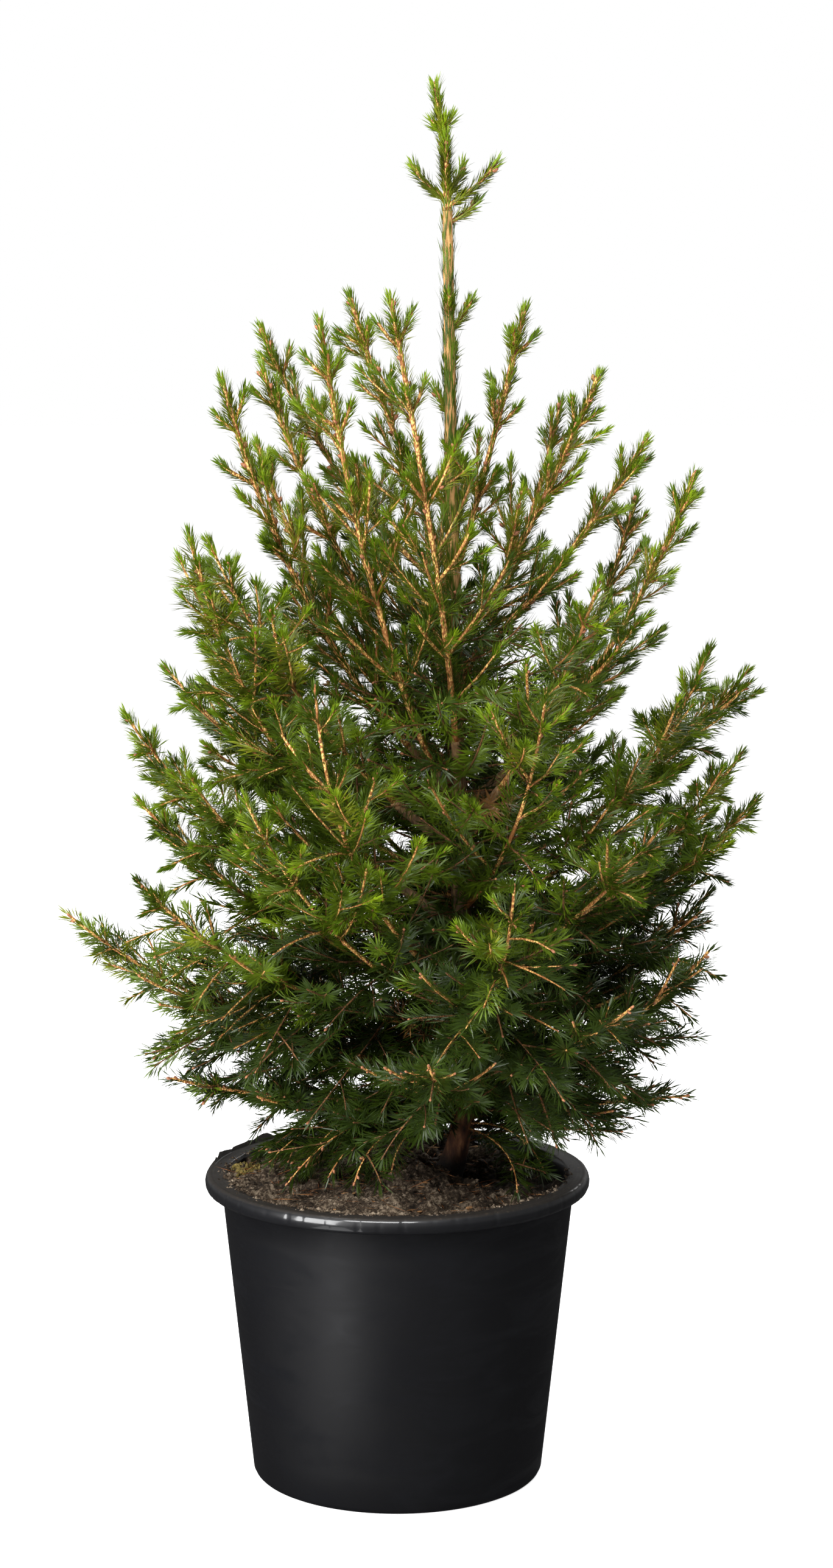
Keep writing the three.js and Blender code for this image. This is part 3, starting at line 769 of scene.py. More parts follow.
# weak shoots on the trunk between its boughs, inside the crown
innerShoots = {
    "everywhere": {"from": 246, "to": 640, "count": 200, "reach": (50, 135), "rise": (0, 0.55)},
    "low": {"from": 236, "to": 300, "count": 44, "reach": (70, 140), "rise": (-0.12, 0.3)},
    "back": {
        "from": 300,
        "to": 430,
        "count": 22,
        "reach": (80, 170),
        "rise": (0, 0.45),
        "turns": (96, 165),
    },
    "turns": (0, 360),
    "turnStray": (-0.3, 0.3),
    "shorter": ((480, 640), (1, 0.4)),
    "knee": 0.6,
    "lift": 0.12,
    "spans": 16,
    "bareTo": 9,
    "sidesFrom": 16,
    "sidesEvery": 3,
}


def growInner(part):
    rule = innerShoots[part]
    span = (rule["to"] - rule["from"]) / rule["count"]
    for k in range(rule["count"]):
        height = rule["from"] + span * (k + chance.uniform())
        share = k * (goldenTurn / fullTurn) % 1
        turn = math.radians(np.interp(share, [0, 1], rule.get("turns", innerShoots["turns"])))
        turn += between(innerShoots["turnStray"])
        reach = between(rule["reach"]) * np.interp(height, *innerShoots["shorter"])
        rise, lift = reach * between(rule["rise"]), reach * innerShoots["lift"]
        knee, spans = innerShoots["knee"], innerShoots["spans"]
        line = trunkShoot(trunkPoint(height), turn, reach, rise, knee, lift, spans)
        if fits(line):
            addShoot(line, "inner", 2, False, innerShoots["bareTo"])
            if k % innerShoots["sidesEvery"] == 0:
                growSides(line, 3, False, innerShoots["sidesFrom"])


# shoots that droop over the soil in front of the trunk: height on the trunk, middle and tip
frontShoots = {
    "shoots": [
        (258, (-30, -64, 296), (-77, -74, 233)),
        (252, (-16, -50, 280), (-30, -84, 236)),
        (262, (-38, -34, 294), (-64, -52, 241)),
        (256, (-20, -36, 282), (-48, -68, 237)),
        (254, (2, -40, 274), (-4, -66, 240)),
        (262, (-40, -14, 290), (-90, -34, 240)),
        (250, (85, -20, 252), (85, -64, 225)),
        (252, (90, -4, 264), (105, -40, 233)),
    ],
    "spans": 16,
    "bareTo": 12,
    "sidesFrom": 30,
}


def growFront():
    for height, middle, tip in frontShoots["shoots"]:
        line = bezier(trunkPoint(height), np.array(middle), np.array(tip), frontShoots["spans"])
        addShoot(line, "front", 1, False, frontShoots["bareTo"])
        growSides(line, 2, False, frontShoots["sidesFrom"])


limbs = []

# steps along a bough, and where on it its needles, twigs and shoots begin, past its bare limb or past
# the trunk
growRule = {
    "mainStep": 8,
    "limbStep": 4,
    "limbOwner": 100,
    "bareTo": 14,
    "twigSides": 16,
    "pastLimb": 12,
    "pastTrunk": 26,
    "hangBelow": 480,
    "hangPastLimb": 4,
    "hangPastTrunk": 20,
}


def growCrown():
    # every bough with its twigs and finer shoots, grown on from the limbs by the source's rule
    claim(trunkLine, (trunk["footRadius"], trunk["topRadius"]), -1)
    mains = []
    for index, (*shape, bare) in enumerate(boughs):
        whole = boughLine(*shape)
        end = lineLength(whole) - twigRule["bud"]
        main = evenly(whole, growRule["mainStep"], bare, end)
        claim(main, (twigRule["footRadius"], twigRule["tipRadius"]), index)
        if bare:
            limb = evenly(whole, growRule["limbStep"], 0, bare)
            radii = (twigRule["limbRadius"], twigRule["limbRadius"])
            claim(limb, radii, growRule["limbOwner"] + index)
            limbs.append(limb)
        mains.append((main, bare, shape[3] > twigRule["highAbove"]))
    for index, (main, bare, high) in enumerate(mains):
        addShoot(main, "spire" if high else "main", 0, high, growRule["bareTo"])
        for line in twigLines(main, index):
            addShoot(line, "twig", 1, high)
            growSides(line, 2, high, growRule["twigSides"])
        past = growRule["pastLimb" if bare else "pastTrunk"]
        growRings(main, high, past)
        growSingles(main, high, past)
        if main[-1, 2] < growRule["hangBelow"]:
            growHanging(main, growRule["hangPastLimb" if bare else "hangPastTrunk"])
    print("boughs grown:", len(shoots), "shoots")


# the leader's top: its last shoot, the ring of shoots at its foot, and the buds' ring above
leader = {
    "foot": (36, 20, 914.3),
    "middle": (33.5, 20, 958),
    "tip": (27, 20, 1001),
    "knee": 0.62,
    "lift": 0.4,
    "shoots": [
        # height on the leader, turn, sideways reach, rise
        (921, 172, 24, 24),
        (917, 352, 34, 29),
        (926, 268, 11, 38),
        (922, 60, 22, 24),
        (905, 20, 22, 16),
        (968, 200, 7, 7),
        (970, 20, 7, 8),
        (966, 95, 6, 7),
        (969, 290, 5, 7),
    ],
    "lowShoots": [
        # the same for the short ones lower down
        (838, 268, 9, 16),
        (830, 8, 15, 20),
        (747, 10, 12, 18),
        (722, 350, 9, 15),
        (770, 150, 12, 18),
        (800, 80, 14, 18),
        (702, 205, 16, 20),
        (690, 60, 16, 22),
    ],
}


def growLeader():
    stem = smoothThrough([leader["foot"], leader["middle"], leader["tip"]])
    addShoot(stem, "leaderTop", 0, True)
    for height, turn, reach, rise in leader["shoots"] + leader["lowShoots"]:
        line = stem if height > leader["foot"][2] else trunkLine
        foot, turn, lift = atHeight(line, height), math.radians(turn), rise * leader["lift"]
        shoot = trunkShoot(foot, turn, reach, rise, leader["knee"], lift, shootRule["spans"])
        addShoot(shoot, "leaderShoot", 1, True)


growCrown()
growInner("everywhere")
growInner("low")
growFront()
growLeader()
growInner("back")
print("crown grown:", len(shoots), "shoots")


def frameAlong(line):
    # tangents with two directions square to them
    tangents = unit(np.gradient(line, axis=0))
    lean = np.abs(tangents.mean(axis=0))
    reference = np.eye(3)[int(np.argmin(lean))]
    normals = unit(reference - (tangents @ reference)[:, None] * tangents)
    return tangents, normals, np.cross(tangents, normals)


def ringsAround(line, sides):
    # the stem's tangents, and at each point a ring of directions square to it
    tangents, normals, across = frameAlong(line)
    angles = fullTurn * np.arange(sides) / sides
    cos, sin = np.cos(angles)[:, None], np.sin(angles)[:, None]
    return tangents, normals[:, None] * cos + across[:, None] * sin


def tube(line, radii, sides, point=2.0, under=0.1):
    # closed tube with a pointed end, as triangles
    tangents, ring = ringsAround(line, sides)
    rows = len(line)
    points = (line[:, None] + ring * np.reshape(radii, (rows, -1, 1))).reshape(-1, 3)
    ends = [line[0] - tangents[0] * under, line[-1] + tangents[-1] * point]
    j = np.arange(sides)
    nextJ = (j + 1) % sides
    a = (np.arange(rows - 1)[:, None] * sides + j).ravel()
    b = (np.arange(rows - 1)[:, None] * sides + nextJ).ravel()
    skin = np.vstack([np.stack([a, b, a + sides], 1), np.stack([b, b + sides, a + sides], 1)])
    first = np.full(sides, rows * sides)
    foot = np.stack([first, nextJ, j], 1)
    base = (rows - 1) * sides
    top = np.stack([first + 1, base + j, base + nextJ], 1)
    return np.vstack([points, ends]), np.vstack([skin, foot, top])


# the shoots' wood: step along main stems and finer ones, sides by level, taper, and where it is young
woodRule = {
    "steps": (7, 11),
    "sides": (7, 6, 4, 3),
    "taper": 0.5,
    "swelling": 0.1,
    "swellingPace": 0.9,
    "youngOut": 0.62,
    "youngAbove": 330,
}


def woodTube(shoot):
    line = evenly(shoot["line"], woodRule["steps"][shoot["level"] > 1])
    share = np.linspace(0, 1, len(line))
    radii = shoot["foot"] + (shoot["tip"] - shoot["foot"]) * share ** woodRule["taper"]
    radii += woodRule["swelling"] * np.sin(line.sum(axis=1) * woodRule["swellingPace"])
    return tube(line, radii, woodRule["sides"][min(3, shoot["level"])])


# needle sprays: how close they stand, how they lean, their length and width, the turn about the stem,
# from its underside, where each rank stands thickest with its spread, how far they close and shorten
# towards the tip, and which way the bare side between the ranks faces
def needleKind(perMillimetre, lean, length, width, **others):
    kind = {"perMillimetre": perMillimetre, "lean": lean, "length": length, "width": width}
    usual = {"rank": 90, "spread": 70, "closing": 0.35, "shortening": 0.1, "out": 0.5, "up": 1}
    return kind | usual | others


needleRule = {
    "high": needleKind(2.2, 33, 11, 1.0, rank=88, spread=42, closing=0.45, out=0.8, up=0.6),
    "low": needleKind(1.74, 54, 15.6, 1.16, rank=92, spread=28, closing=0.2, up=0.9),
    "inner": needleKind(1.0, 56, 15.6, 1.3, spread=60, closing=0.2, out=0),
    "tuft": needleKind(4.4, 37, 10.6, 1.1, closing=0.72),
    "star": needleKind(2.5, 52, 14.2, 1.1),
    "crown": needleKind(4.8, 31, 10.8, 1.2, spread=75, shortening=0),
    "leader": needleKind(
        4.2, 7, 14, 0.95, spread=60, closing=0.45, shortening=0.3, out=0.8, up=0.6
    ),
    "fewest": 3,
    "leans": 8,
    "lengths": (0.8, 1.15),
    "seat": 0.7,
    "thickness": 0.36,
    "widest": 0.54,
    "bow": 0.022,
    "tipZone": 14,
    "freshEnd": 15,
    "freshEnds": (0.5, 1.1),
    "innerPart": 0.42,
    "dryShare": 0.02,
    "tuftAbove": 420,
    "oliveFrom": 110,
    "spireTip": 40,
    "litShare": 0.16,
    "litShareHigh": 0.42,
    "pastLeader": 40,
}
tones = ["Deep", "Green", "Olive", "Fresh", "Dry"]
sprays = {tone: [] for tone in tones}

# the crown's outline, and what makes a shoot's tone lighter or deeper: painted light high and outside,
# painted shade low, inside and on the right
crownRule = {
    "stem": (230, 900),
    "middle": 500,
    "outline": ((230, 330, 420, 560, 700, 860, 1000), (220, 260, 285, 240, 185, 80, 40)),
    "outside": 0.45,
    "height": 0.5,
    "heights": ((300, 500, 800), (0, 0.85, 1)),
    "stray": 0.3,
    "shade": 0.12,
    "shadeOut": ((0, 200), (0, 1)),
    "shadeLow": ((400, 650), (1, 0)),
    "olive": 0.84,
    "oliveAbove": 690,
    "green": 0.46,
}


def outsideness(point):
    # how far out in the crown a point stands: 0 on the trunk, 1 at its outline
    centre = trunkPoint(np.clip(point[2], *crownRule["stem"]))
    return math.hypot(*(point - centre)[:2]) / np.interp(point[2], *crownRule["outline"])


def toneOf(shoot, chanceNow):
    # a tone for a whole shoot: painted shade inside and low, painted light outside and high
    rule = crownRule
    tip = shoot["line"][-1]
    light = rule["outside"] * outsideness(tip) + rule["height"] * np.interp(tip[2], *rule["heights"])
    light += chanceNow * rule["stray"] - rule["stray"] / 2
    # painted shade on the crown's right side, low down
    light -= rule["shade"] * np.interp(tip[0], *rule["shadeOut"]) * np.interp(tip[2], *rule["shadeLow"])
    if light > rule["olive"] or (shoot["high"] and tip[2] > rule["oliveAbove"]):
        return "Olive"
    return "Green" if shoot["high"] or light > rule["green"] else "Deep"


def needlesAlong(line, start, end, rule, radius, tipLength):
    # feet, axes, outward ways, leans, lengths and widths of the needles on a stretch of stem; they
    # part on the side that faces up and out, where the wood shows
    count = int((end - start) * rule["perMillimetre"])
    if count < needleRule["fewest"]:
        return None
    along = np.sort(chance.uniform(start, end, count))
    feet = pointsAt(line, along)
    axes = tangentsAt(line, along)
    bare = unit((feet - trunkPoint(crownRule["middle"])) * (1, 1, 0)) * rule["out"]
    bare[:, 2] = rule["up"]
    bare = unit(bare - (bare * axes).sum(1)[:, None] * axes)
    rank = np.where(np.arange(count) % 2, rule["rank"], -rule["rank"])
    turns = np.radians(rank + chance.normal(0, rule["spread"], count))
    outward = np.cross(axes, bare) * np.sin(turns)[:, None] - bare * np.cos(turns)[:, None]
    nearTip = np.clip((along - (tipLength - needleRule["tipZone"])) / needleRule["tipZone"], 0, 1)
    closed = rule["lean"] * (1 - rule["closing"] * nearTip**2)
    leans = np.radians(closed + chance.normal(0, needleRule["leans"], count))
    lengths = rule["length"] * chance.uniform(*needleRule["lengths"], count)
    lengths = lengths * (1 - rule["shortening"] * nearTip)
    widths = np.full(count, rule["width"])
    return feet + outward * radius * needleRule["seat"], axes, outward, leans, lengths, widths


def needleMesh(spray):
    # slim closed slivers of four triangles, bowed a little outwards
    feet, axes, outward, leans, lengths, widths = [np.concatenate(part) for part in zip(*spray)]
    way = axes * np.cos(leans)[:, None] + outward * np.sin(leans)[:, None]
    side = unit(np.cross(axes, outward)) * widths[:, None] / 2
    upper = np.cross(way, unit(side)) * needleRule["thickness"]
    middle = feet + way * (lengths * needleRule["widest"])[:, None]
    middle += outward * (lengths * needleRule["bow"])[:, None]
    tips = feet + way * lengths[:, None]
    points = np.stack([feet, middle + upper + side, middle + upper - side, tips], 1).reshape(-1, 3)
    pattern = np.array([[0, 2, 1], [3, 1, 2], [0, 1, 3], [0, 3, 2]])
    faces = (np.arange(len(feet))[:, None, None] * 4 + pattern).reshape(-1, 3)
    return points, faces


def sprayNeedles():
    # deals needles of one tone to each shoot, with a close fresh tuft or an open star at its end
    for shoot in shoots:
        line = shoot["line"]
        length = lineLength(line)
        rule = needleRule["high" if shoot["high"] else "low"]
        upper = line[-1, 2] > needleRule["tuftAbove"]
        endRule = needleRule["tuft" if shoot["high"] or upper else "star"]
        if outsideness(line[-1]) < needleRule["innerPart"] and not shoot["high"] and shoot["level"] > 1:
            rule = endRule = needleRule["inner"]
        tone = toneOf(shoot, chance.uniform())
        if chance.uniform() < needleRule["dryShare"] and rule is needleRule["inner"]:
            tone = "Dry"
        fresh = needleRule["freshEnd"] * between(needleRule["freshEnds"])
        litShare = needleRule["litShareHigh" if upper else "litShare"]
        lit = tone == "Olive" or (tone == "Green" and chance.uniform() < litShare)
        lit = lit and rule is not needleRule["inner"]
        tuft = max(0, length - fresh)
        radius = (shoot["foot"] + shoot["tip"]) / 2
        endTone = tone if not lit else "Fresh" if upper else "Olive"
        if shoot["kind"] in ("leaderTop", "leaderShoot"):
            rule = endRule = needleRule["crown"]
        parts = [(shoot["bareTo"], tuft, tone, rule), (tuft, length, endTone, endRule)]
        if shoot["kind"] == "spire":
            # needles are deeper low on a spire, and close and thick near its tip
            deep, thick = length - needleRule["oliveFrom"], length - needleRule["spireTip"]
            parts = [(shoot["bareTo"], deep, "Green", rule), (deep, thick, tone, rule)]
            parts += [(thick, tuft, tone, endRule), (tuft, length, endTone, endRule)]
        for start, end, partTone, partRule in parts:
            made = needlesAlong(line, start, end, partRule, radius, length)
            if made:
                sprays[partTone].append(made)


# stretches of the leader: from, to, its radius there, and the share of needles that it has
leaderStretches = [
    (560, 700, 5.6, 1),
    (700, 800, 5.1, 1),
    (800, 862, 4.6, 0.9),
    (862, 912, 4.3, 0.55),
]


def leaderNeedles():
    # the leader's own needles lie close along it, on its bark
    rule = needleRule["leader"]
    lengths = distances(trunkLine)
    past = lengths[-1] + needleRule["pastLeader"]
    for low, high, radius, share in leaderStretches:
        start, end = np.interp([low, high], trunkLine[:, 2], lengths)
        closeness = rule | {"perMillimetre": rule["perMillimetre"] * share}
        root = radius / needleRule["seat"]
        sprays["Green"].append(needlesAlong(trunkLine, start, end, closeness, root, past))


needleTints = {
    "Deep": ((28, 42, 4), (48, 65, 10)),
    "Green": ((48, 66, 4), (84, 104, 14)),
    "Olive": ((68, 78, 4), (110, 118, 18)),
    "Fresh": ((70, 95, 4), (116, 138, 20)),
    "Dry": ((96, 64, 32), (142, 102, 56)),
}


def needleFinish(tone):
    dark, light = needleTints[tone]
    finish = Finish("needles" + tone, **{"Specular IOR Level": 0.34})
    drift = finish.rise(finish.noise(38, 2), 0.36, 0.66)
    finish.colour(finish.mix(drift, paint(*dark), paint(*light)))
    finish.rough(0.3 + 0.16 * finish.noise(90, 1))
    return finish


def makeNeedles():
    sprayNeedles()
    leaderNeedles()
    for tone in tones:
        finish = needleFinish(tone)
        points, faces = needleMesh(sprays[tone])
        count = len(points) // 4
        pieces = math.ceil(count * 4 / trianglesPerPiece)
        for k in range(pieces):
            a, b = count * k // pieces * 4, count * (k + 1) // pieces * 4
            name = f"needles{tone}{k + 1}"
            meshPiece(name, points[a:b], faces[a:b] - a, finish, "needles", smooth=False)


# winter buds at the ends of the shoots
budRule = {
    "length": 5.4,
    "radius": 1.8,
    "sides": 4,
    "profile": [(0, 0.55), (0.36, 1), (0.74, 0.7)],
    "point": 0.26,
    "fromTip": 5,
    "fromFoot": 10,
    "stretch": 190,
    "gap": 24,
    "gaps": (0.3, 1.6),
    "lean": 42,
    "stand": 0.8,
    "back": 0.7,
    "sideSize": 0.95,
    "sideSizes": (0.75, 1.2),
    "lowSize": 0.7,
    "share": 0.4,
    "endSize": 0.62,
    "endSizes": (0.8, 1.15),
}


def budShape(foot, way, size):
    length, radius = budRule["length"] * size, budRule["radius"] * size
    stations = [foot + way * length * share for share, _ in budRule["profile"]]
    radii = [radius * width for _, width in budRule["profile"]]
    return tube(np.array(stations), radii, budRule["sides"], length * budRule["point"])


def sideBuds(shoot):
    # single buds stand off the young stretch of a stem, and a few close below its tip
    line = shoot["line"]
    length = lineLength(line)
    kindSize = 1.0 if shoot["high"] else budRule["lowSize"]
    made = []
    turn = between(anyTurn)
    along = length - budRule["fromTip"]
    while along > max(budRule["fromFoot"], length - budRule["stretch"]):
        forward = tangentsAt(line, along)
        way = headingFrom(forward, math.radians(budRule["lean"]), turn)
        size = budRule["sideSize"] * between(budRule["sideSizes"]) * kindSize
        aside = (way - forward * budRule["back"]) * shoot["tip"] * budRule["stand"]
        made.append(budShape(pointsAt(line, along) + aside, way, size))
        turn += goldenTurn
        along -= budRule["gap"] * between(budRule["gaps"])
    return made


def makeBuds():
    made = []
    for shoot in shoots:
        line = shoot["line"]
        if shoot["level"] > 1 and chance.uniform() > budRule["share"]:
            continue
        size = budRule["endSize"] * between(budRule["endSizes"])
        made.append(budShape(line[-1], unit(line[-1] - line[-2]), size))
        if shoot["level"] < 2:
            made += sideBuds(shoot)
    finish = Finish("budScales", Roughness=0.6)
    drift = finish.noise(700, 2)
    finish.colour(finish.ramp(drift, (0.3, paint(122, 74, 48)), (0.7, paint(186, 124, 84))))
    finish.bump(finish.noise(1400, 2), 0.4, 0.0005)
    meshPiece("buds", *joined(made), finish, "bark")


def pegged(finish, dark, light):
    # young wood's close pattern of golden pegs with brown between them
    sockets = {"Vector": finish.stretched(0.5), "Scale": 850.0}
    pegs = finish.node("ShaderNodeTexVoronoi", {"feature": "F1"}, sockets)
    finish.bump(pegs, 0.7, 0.0007)
    return finish.ramp(pegs, (0.25, light), (0.62, dark))


def goldenWood():
    # young wood, lit golden, redder where it is older
    finish = Finish("goldenWood", Roughness=0.6)
    shade = pegged(finish, paint(136, 78, 30), paint(244, 196, 112))
    older = finish.mix(finish.noise(500, 2), paint(116, 64, 28), paint(184, 120, 60))
    finish.colour(finish.mix(finish.rise(finish.noise(30, 3), 0.5, 0.7), shade, older))
    return finish


def brownWood():
    # older and shaded wood
    finish = Finish("brownWood", Roughness=0.7)
    shade = pegged(finish, paint(70, 44, 22), paint(168, 116, 62))
    finish.colour(finish.mix(finish.noise(40, 3), shade, paint(98, 62, 32)))
    return finish


def isYoung(shoot):
    tip = shoot["line"][-1]
    outer = outsideness(tip) > woodRule["youngOut"] and tip[2] > woodRule["youngAbove"]
    return shoot["level"] < 2 or shoot["high"] or outer


def makeTwigs():
    golden = [shoot for shoot in shoots if isYoung(shoot)]
    brown = [shoot for shoot in shoots if not isYoung(shoot)]
    wood = joined(map(woodTube, golden))
    meshPiece("youngWood", *wood, goldenWood(), "bark", foliageNodes + ["leader_top"])
    meshPiece("olderWood", *joined(map(woodTube, brown)), brownWood(), "bark")


# the trunk's bark: plates and furrows low down, smoother higher up, a collar round each bough's foot.
# plates and fine are a size and a seed; the heights at which its colours change are in metres
barkRule = {
    "step": 3,
    "sides": 32,
    "relief": 0.55,
    "reliefFades": ((220, 650), (1, 0.4)),
    "squash": (1, 1, 0.42),
    "plates": (7.0, 21),
    "plateDepth": 1.1,
    "plateLevel": 0.45,
    "fine": (2.2, 22),
    "fineDepth": 0.35,
    "point": 0.3,
    "collar": 1.5,
    "collarHeight": 7.0,
    "collarWidth": 0.6,
    "footShadeHeights": (0.222, 0.238),
    "flakeHeights": (0.27, 0.36),
    "youngHeights": (0.48, 0.66),
    "limbStep": 2.5,
    "limbSides": 14,
    "limbRelief": 0.32,
    "limbCollar": 1.3,
    "limbCollarShare": 0.16,
}


def barkRelief(points, strength):
    flat = points * np.array(barkRule["squash"])
    plates = np.abs(ripples(flat, *barkRule["plates"])) * barkRule["plateDepth"]
    fine = ripples(flat, *barkRule["fine"])
    return strength * (plates - barkRule["plateLevel"] + barkRule["fineDepth"] * fine)


def barkTube(line, radiusOf, sides, relief):
    # tube whose skin carries the bark's relief; radiusOf takes share, turn and height
    _, ring = ringsAround(line, sides)
    share = np.linspace(0, 1, len(line))[:, None]
    turns = np.arctan2(ring[..., 1], ring[..., 0])
    radii = radiusOf(share, turns, line[:, 2][:, None])
    skin = line[:, None] + ring * radii[..., None]
    radii = radii + barkRelief(skin, relief(line[:, 2])[:, None])
    return tube(line, radii, sides, barkRule["point"])


def makeTrunk(bark):
    line = evenly(trunkLine, barkRule["step"])

    def radiusOf(share, turns, z):
        radii = trunkRadius(share, turns, z)
        for height, turn, *_ in boughs:
            apart = (turns - math.radians(turn) + math.pi) % fullTurn - math.pi
            near = bell(z - height, barkRule["collarHeight"])
            radii = radii + barkRule["collar"] * near * bell(apart, barkRule["collarWidth"])
        return radii

    def relief(z):
        return barkRule["relief"] * np.interp(z, *barkRule["reliefFades"])

    points, faces = barkTube(line, radiusOf, barkRule["sides"], relief)
    low = points[:, 2] < trunkFoot
    points[low, 2] = trunkFoot
    meshPiece("trunkBark", points, faces, bark, "bark", ["trunk"])


def limbRadius(share, turns, z):
    foot, tip = twigRule["limbRadius"], twigRule["footRadius"]
    collar = barkRule["limbCollar"] * bell(share, barkRule["limbCollarShare"])
    return foot + (tip - foot) * share + collar


def limbRelief(z):
    return np.full(len(z), barkRule["limbRelief"])


def makeLimbs(bark):
    lines = [evenly(limb, barkRule["limbStep"]) for limb in limbs]
    tubes = [barkTube(line, limbRadius, barkRule["limbSides"], limbRelief) for line in lines]
    meshPiece("boughBark", *joined(tubes), bark, "bark", boughNodes)


def barkFinish():
    # darkened with painted shade at the foot, then red-brown and flaking, grey-brown, and golden young
    # wood above
    finish = Finish("bark", Roughness=0.8)
    along = finish.stretched(0.3)
    plates = finish.noise(210, 4, 0.6, along)
    fine = finish.noise(900, 3, 0.6, along)
    height = finish.height()
    tan = [(0.3, paint(64, 47, 32)), (0.5, paint(122, 90, 58)), (0.68, paint(178, 138, 92))]
    red = [(0.3, paint(36, 22, 15)), (0.5, paint(98, 58, 34)), (0.68, paint(146, 100, 64))]
    old = finish.mix(finish.rise(fine, 0.45, 0.75), finish.ramp(plates, *tan), paint(104, 90, 72))
    young = finish.mix(finish.noise(700, 2, 0.6, along), paint(128, 84, 42), paint(216, 170, 104))
    low = finish.mix(finish.rise(height, *barkRule["flakeHeights"]), finish.ramp(plates, *red), old)
    # painted shade: near black at the trunk's foot, fading out above it
    low = finish.mix(finish.rise(height, *barkRule["footShadeHeights"]), paint(24, 18, 14), low)
    finish.colour(finish.mix(finish.rise(height, *barkRule["youngHeights"]), low, young))
    finish.bump(plates * 0.6 + fine * 0.5, 0.7, 0.0012)
    return finish


# the pot: a turned wall, a rolled rim with creases, and the torn stretch at the back left. The gloss
# and the dust begin at shares of its height
pot = {
    "columns": 480,
    "baseRadius": 105.5,
    "baseCorner": 4,
    "baseMiddle": 0.5,
    "cornerSteps": 6,
    "floor": 3.5,
    "wall": 2.2,
    "wallSteps": 10,
    "lining": 60,
    "liningSteps": 5,
    "topRadius": 128.3,
    "rimUnder": 212.5,
    "rimRadius": 140,
    "rimTop": 223.5,
    "flangeInner": 124,
    "tearFrom": 113,
    "tearTo": 173,
    "tearEdge": 1.2,
    "creaseSeed": 5,
    "creaseGap": 17,
    "creaseShift": (-0.3, 0.3),
    "creaseDepth": 0.75,
    "creaseDepths": (0.3, 1),
    "creaseWidth": 1.1,
    "creaseRows": (2, -8),
    "glossFrom": (0.945, 0.953),
    "dustFrom": (0.993, 0.998),
    "waviness": 0.35,
    "waves": ((3, 0.6, 1), (7, 1.9, 0.5)),
    "filmSeed": 9,
    "film": 4.6,
    "filmRows": (7, 8),
    "flaps": 26,
    "flapPower": 1.4,
    "flapEnds": 0.2,
    "flapBends": (-1.6, 1.2),
}


def wallRadius(z):
    return pot["baseRadius"] + (pot["topRadius"] - pot["baseRadius"]) * z / pot["rimUnder"]


def rimSections():
    # the roll from its root round to the flange's inner edge, whole and torn, with equal counts
    r, under, top = pot["rimRadius"], pot["rimUnder"], pot["rimTop"]
    wall, inner = wallRadius(under), pot["flangeInner"]
    flange = [
        (r - 5.8, top - 0.5),
        (r - 7.2, top + 0.1),
        (r - 8.6, top - 0.5),
        (r - 10.2, top),
        (r - 12, top - 0.6),
        (inner + 1.5, top - 0.6),
        (inner, top - 1.2),
    ]
    whole = [
        (wall + 1, under + 0.4),
        (r - 7, under - 0.1),
        (r - 3, under - 0.3),
        (r - 1.2, under + 0.6),
        (r - 0.2, under + 2.8),
        (r, under + 5.6),
        (r - 0.5, under + 8),
        (r - 1.6, top - 0.9),
        (r - 3, top - 0.1),
        (r - 4.6, top + 0.1),
    ]
    torn = [
        (wall + 0.4, under + 1),
        (wall + 0.6, under + 3),
        (wall + 0.8, under + 5),
        (inner + 4.4, top - 4),
        (inner + 6.5, top - 2.6),
        (r - 6, top - 2),
        (r - 4, top - 0.6),
        (r - 3.7, top + 1),
        (r - 4.1, top + 1),
        (r - 4.5, top - 0.2),
    ]
    return whole + flange, torn + flange


def potMesh():
    under, corner, base = pot["rimUnder"], pot["baseCorner"], pot["baseRadius"]
    whole, torn = rimSections()
    rounding = np.linspace(0, math.pi / 2, pot["cornerSteps"])[1:-1]
    outside = [(0, 0), (base * pot["baseMiddle"], 0), (base - corner, 0)]
    outside += [(base - corner + corner * math.sin(t), corner - corner * math.cos(t)) for t in rounding]
    outside += [(wallRadius(z), z) for z in np.linspace(corner, under, pot["wallSteps"])]
    innerHeights = np.linspace(under - pot["wall"], under - pot["lining"], pot["liningSteps"])
    inside = [(wallRadius(z) - pot["wall"], z) for z in innerHeights]
    inside += [(wallRadius(pot["floor"]) - pot["wall"], pot["floor"]), (0, pot["floor"])]
    turns = fullTurn * np.arange(pot["columns"]) / pot["columns"]
    degrees = np.degrees(turns)
    inTear = np.clip((degrees - pot["tearFrom"]) / pot["tearEdge"], 0, 1)
    inTear *= np.clip((pot["tearTo"] - degrees) / pot["tearEdge"], 0, 1)
    mixed = np.array([*outside, *whole, *inside])[:, None] * (1 - inTear)[None, :, None]
    mixed += np.array([*outside, *torn, *inside])[:, None] * inTear[None, :, None]
    radius, height = mixed[..., 0], mixed[..., 1]
    first = len(outside)
    ragged(height, radius, inTear, degrees, first)
    creases(radius, turns, inTear, first, len(whole))
    wobble = sum(size * np.sin(count * turns + phase) for count, phase, size in pot["waves"])
    radius[3:first] += pot["waviness"] * wobble * (height[3:first] / under)
    points = np.stack([radius * np.cos(turns), radius * np.sin(turns), height], -1)
    return lathe(points)


def ragged(height, radius, inTear, degrees, first):
    # the film left standing along the torn edge is ragged, in uneven flaps and nicks
    draw = np.random.RandomState(pot["filmSeed"])
    marks = np.sort(draw.uniform(pot["tearFrom"], pot["tearTo"], pot["flaps"]))
    levels = draw.uniform(0, 1, pot["flaps"]) ** pot["flapPower"]
    levels[[0, -1]] = pot["flapEnds"]
    rise = np.interp(degrees, marks, levels) * pot["film"]
    bend = np.interp(degrees, marks, draw.uniform(*pot["flapBends"], pot["flaps"]))
    for row in pot["filmRows"]:
        height[first + row] += rise * inTear
        radius[first + row] += inTear * bend * levels.mean()


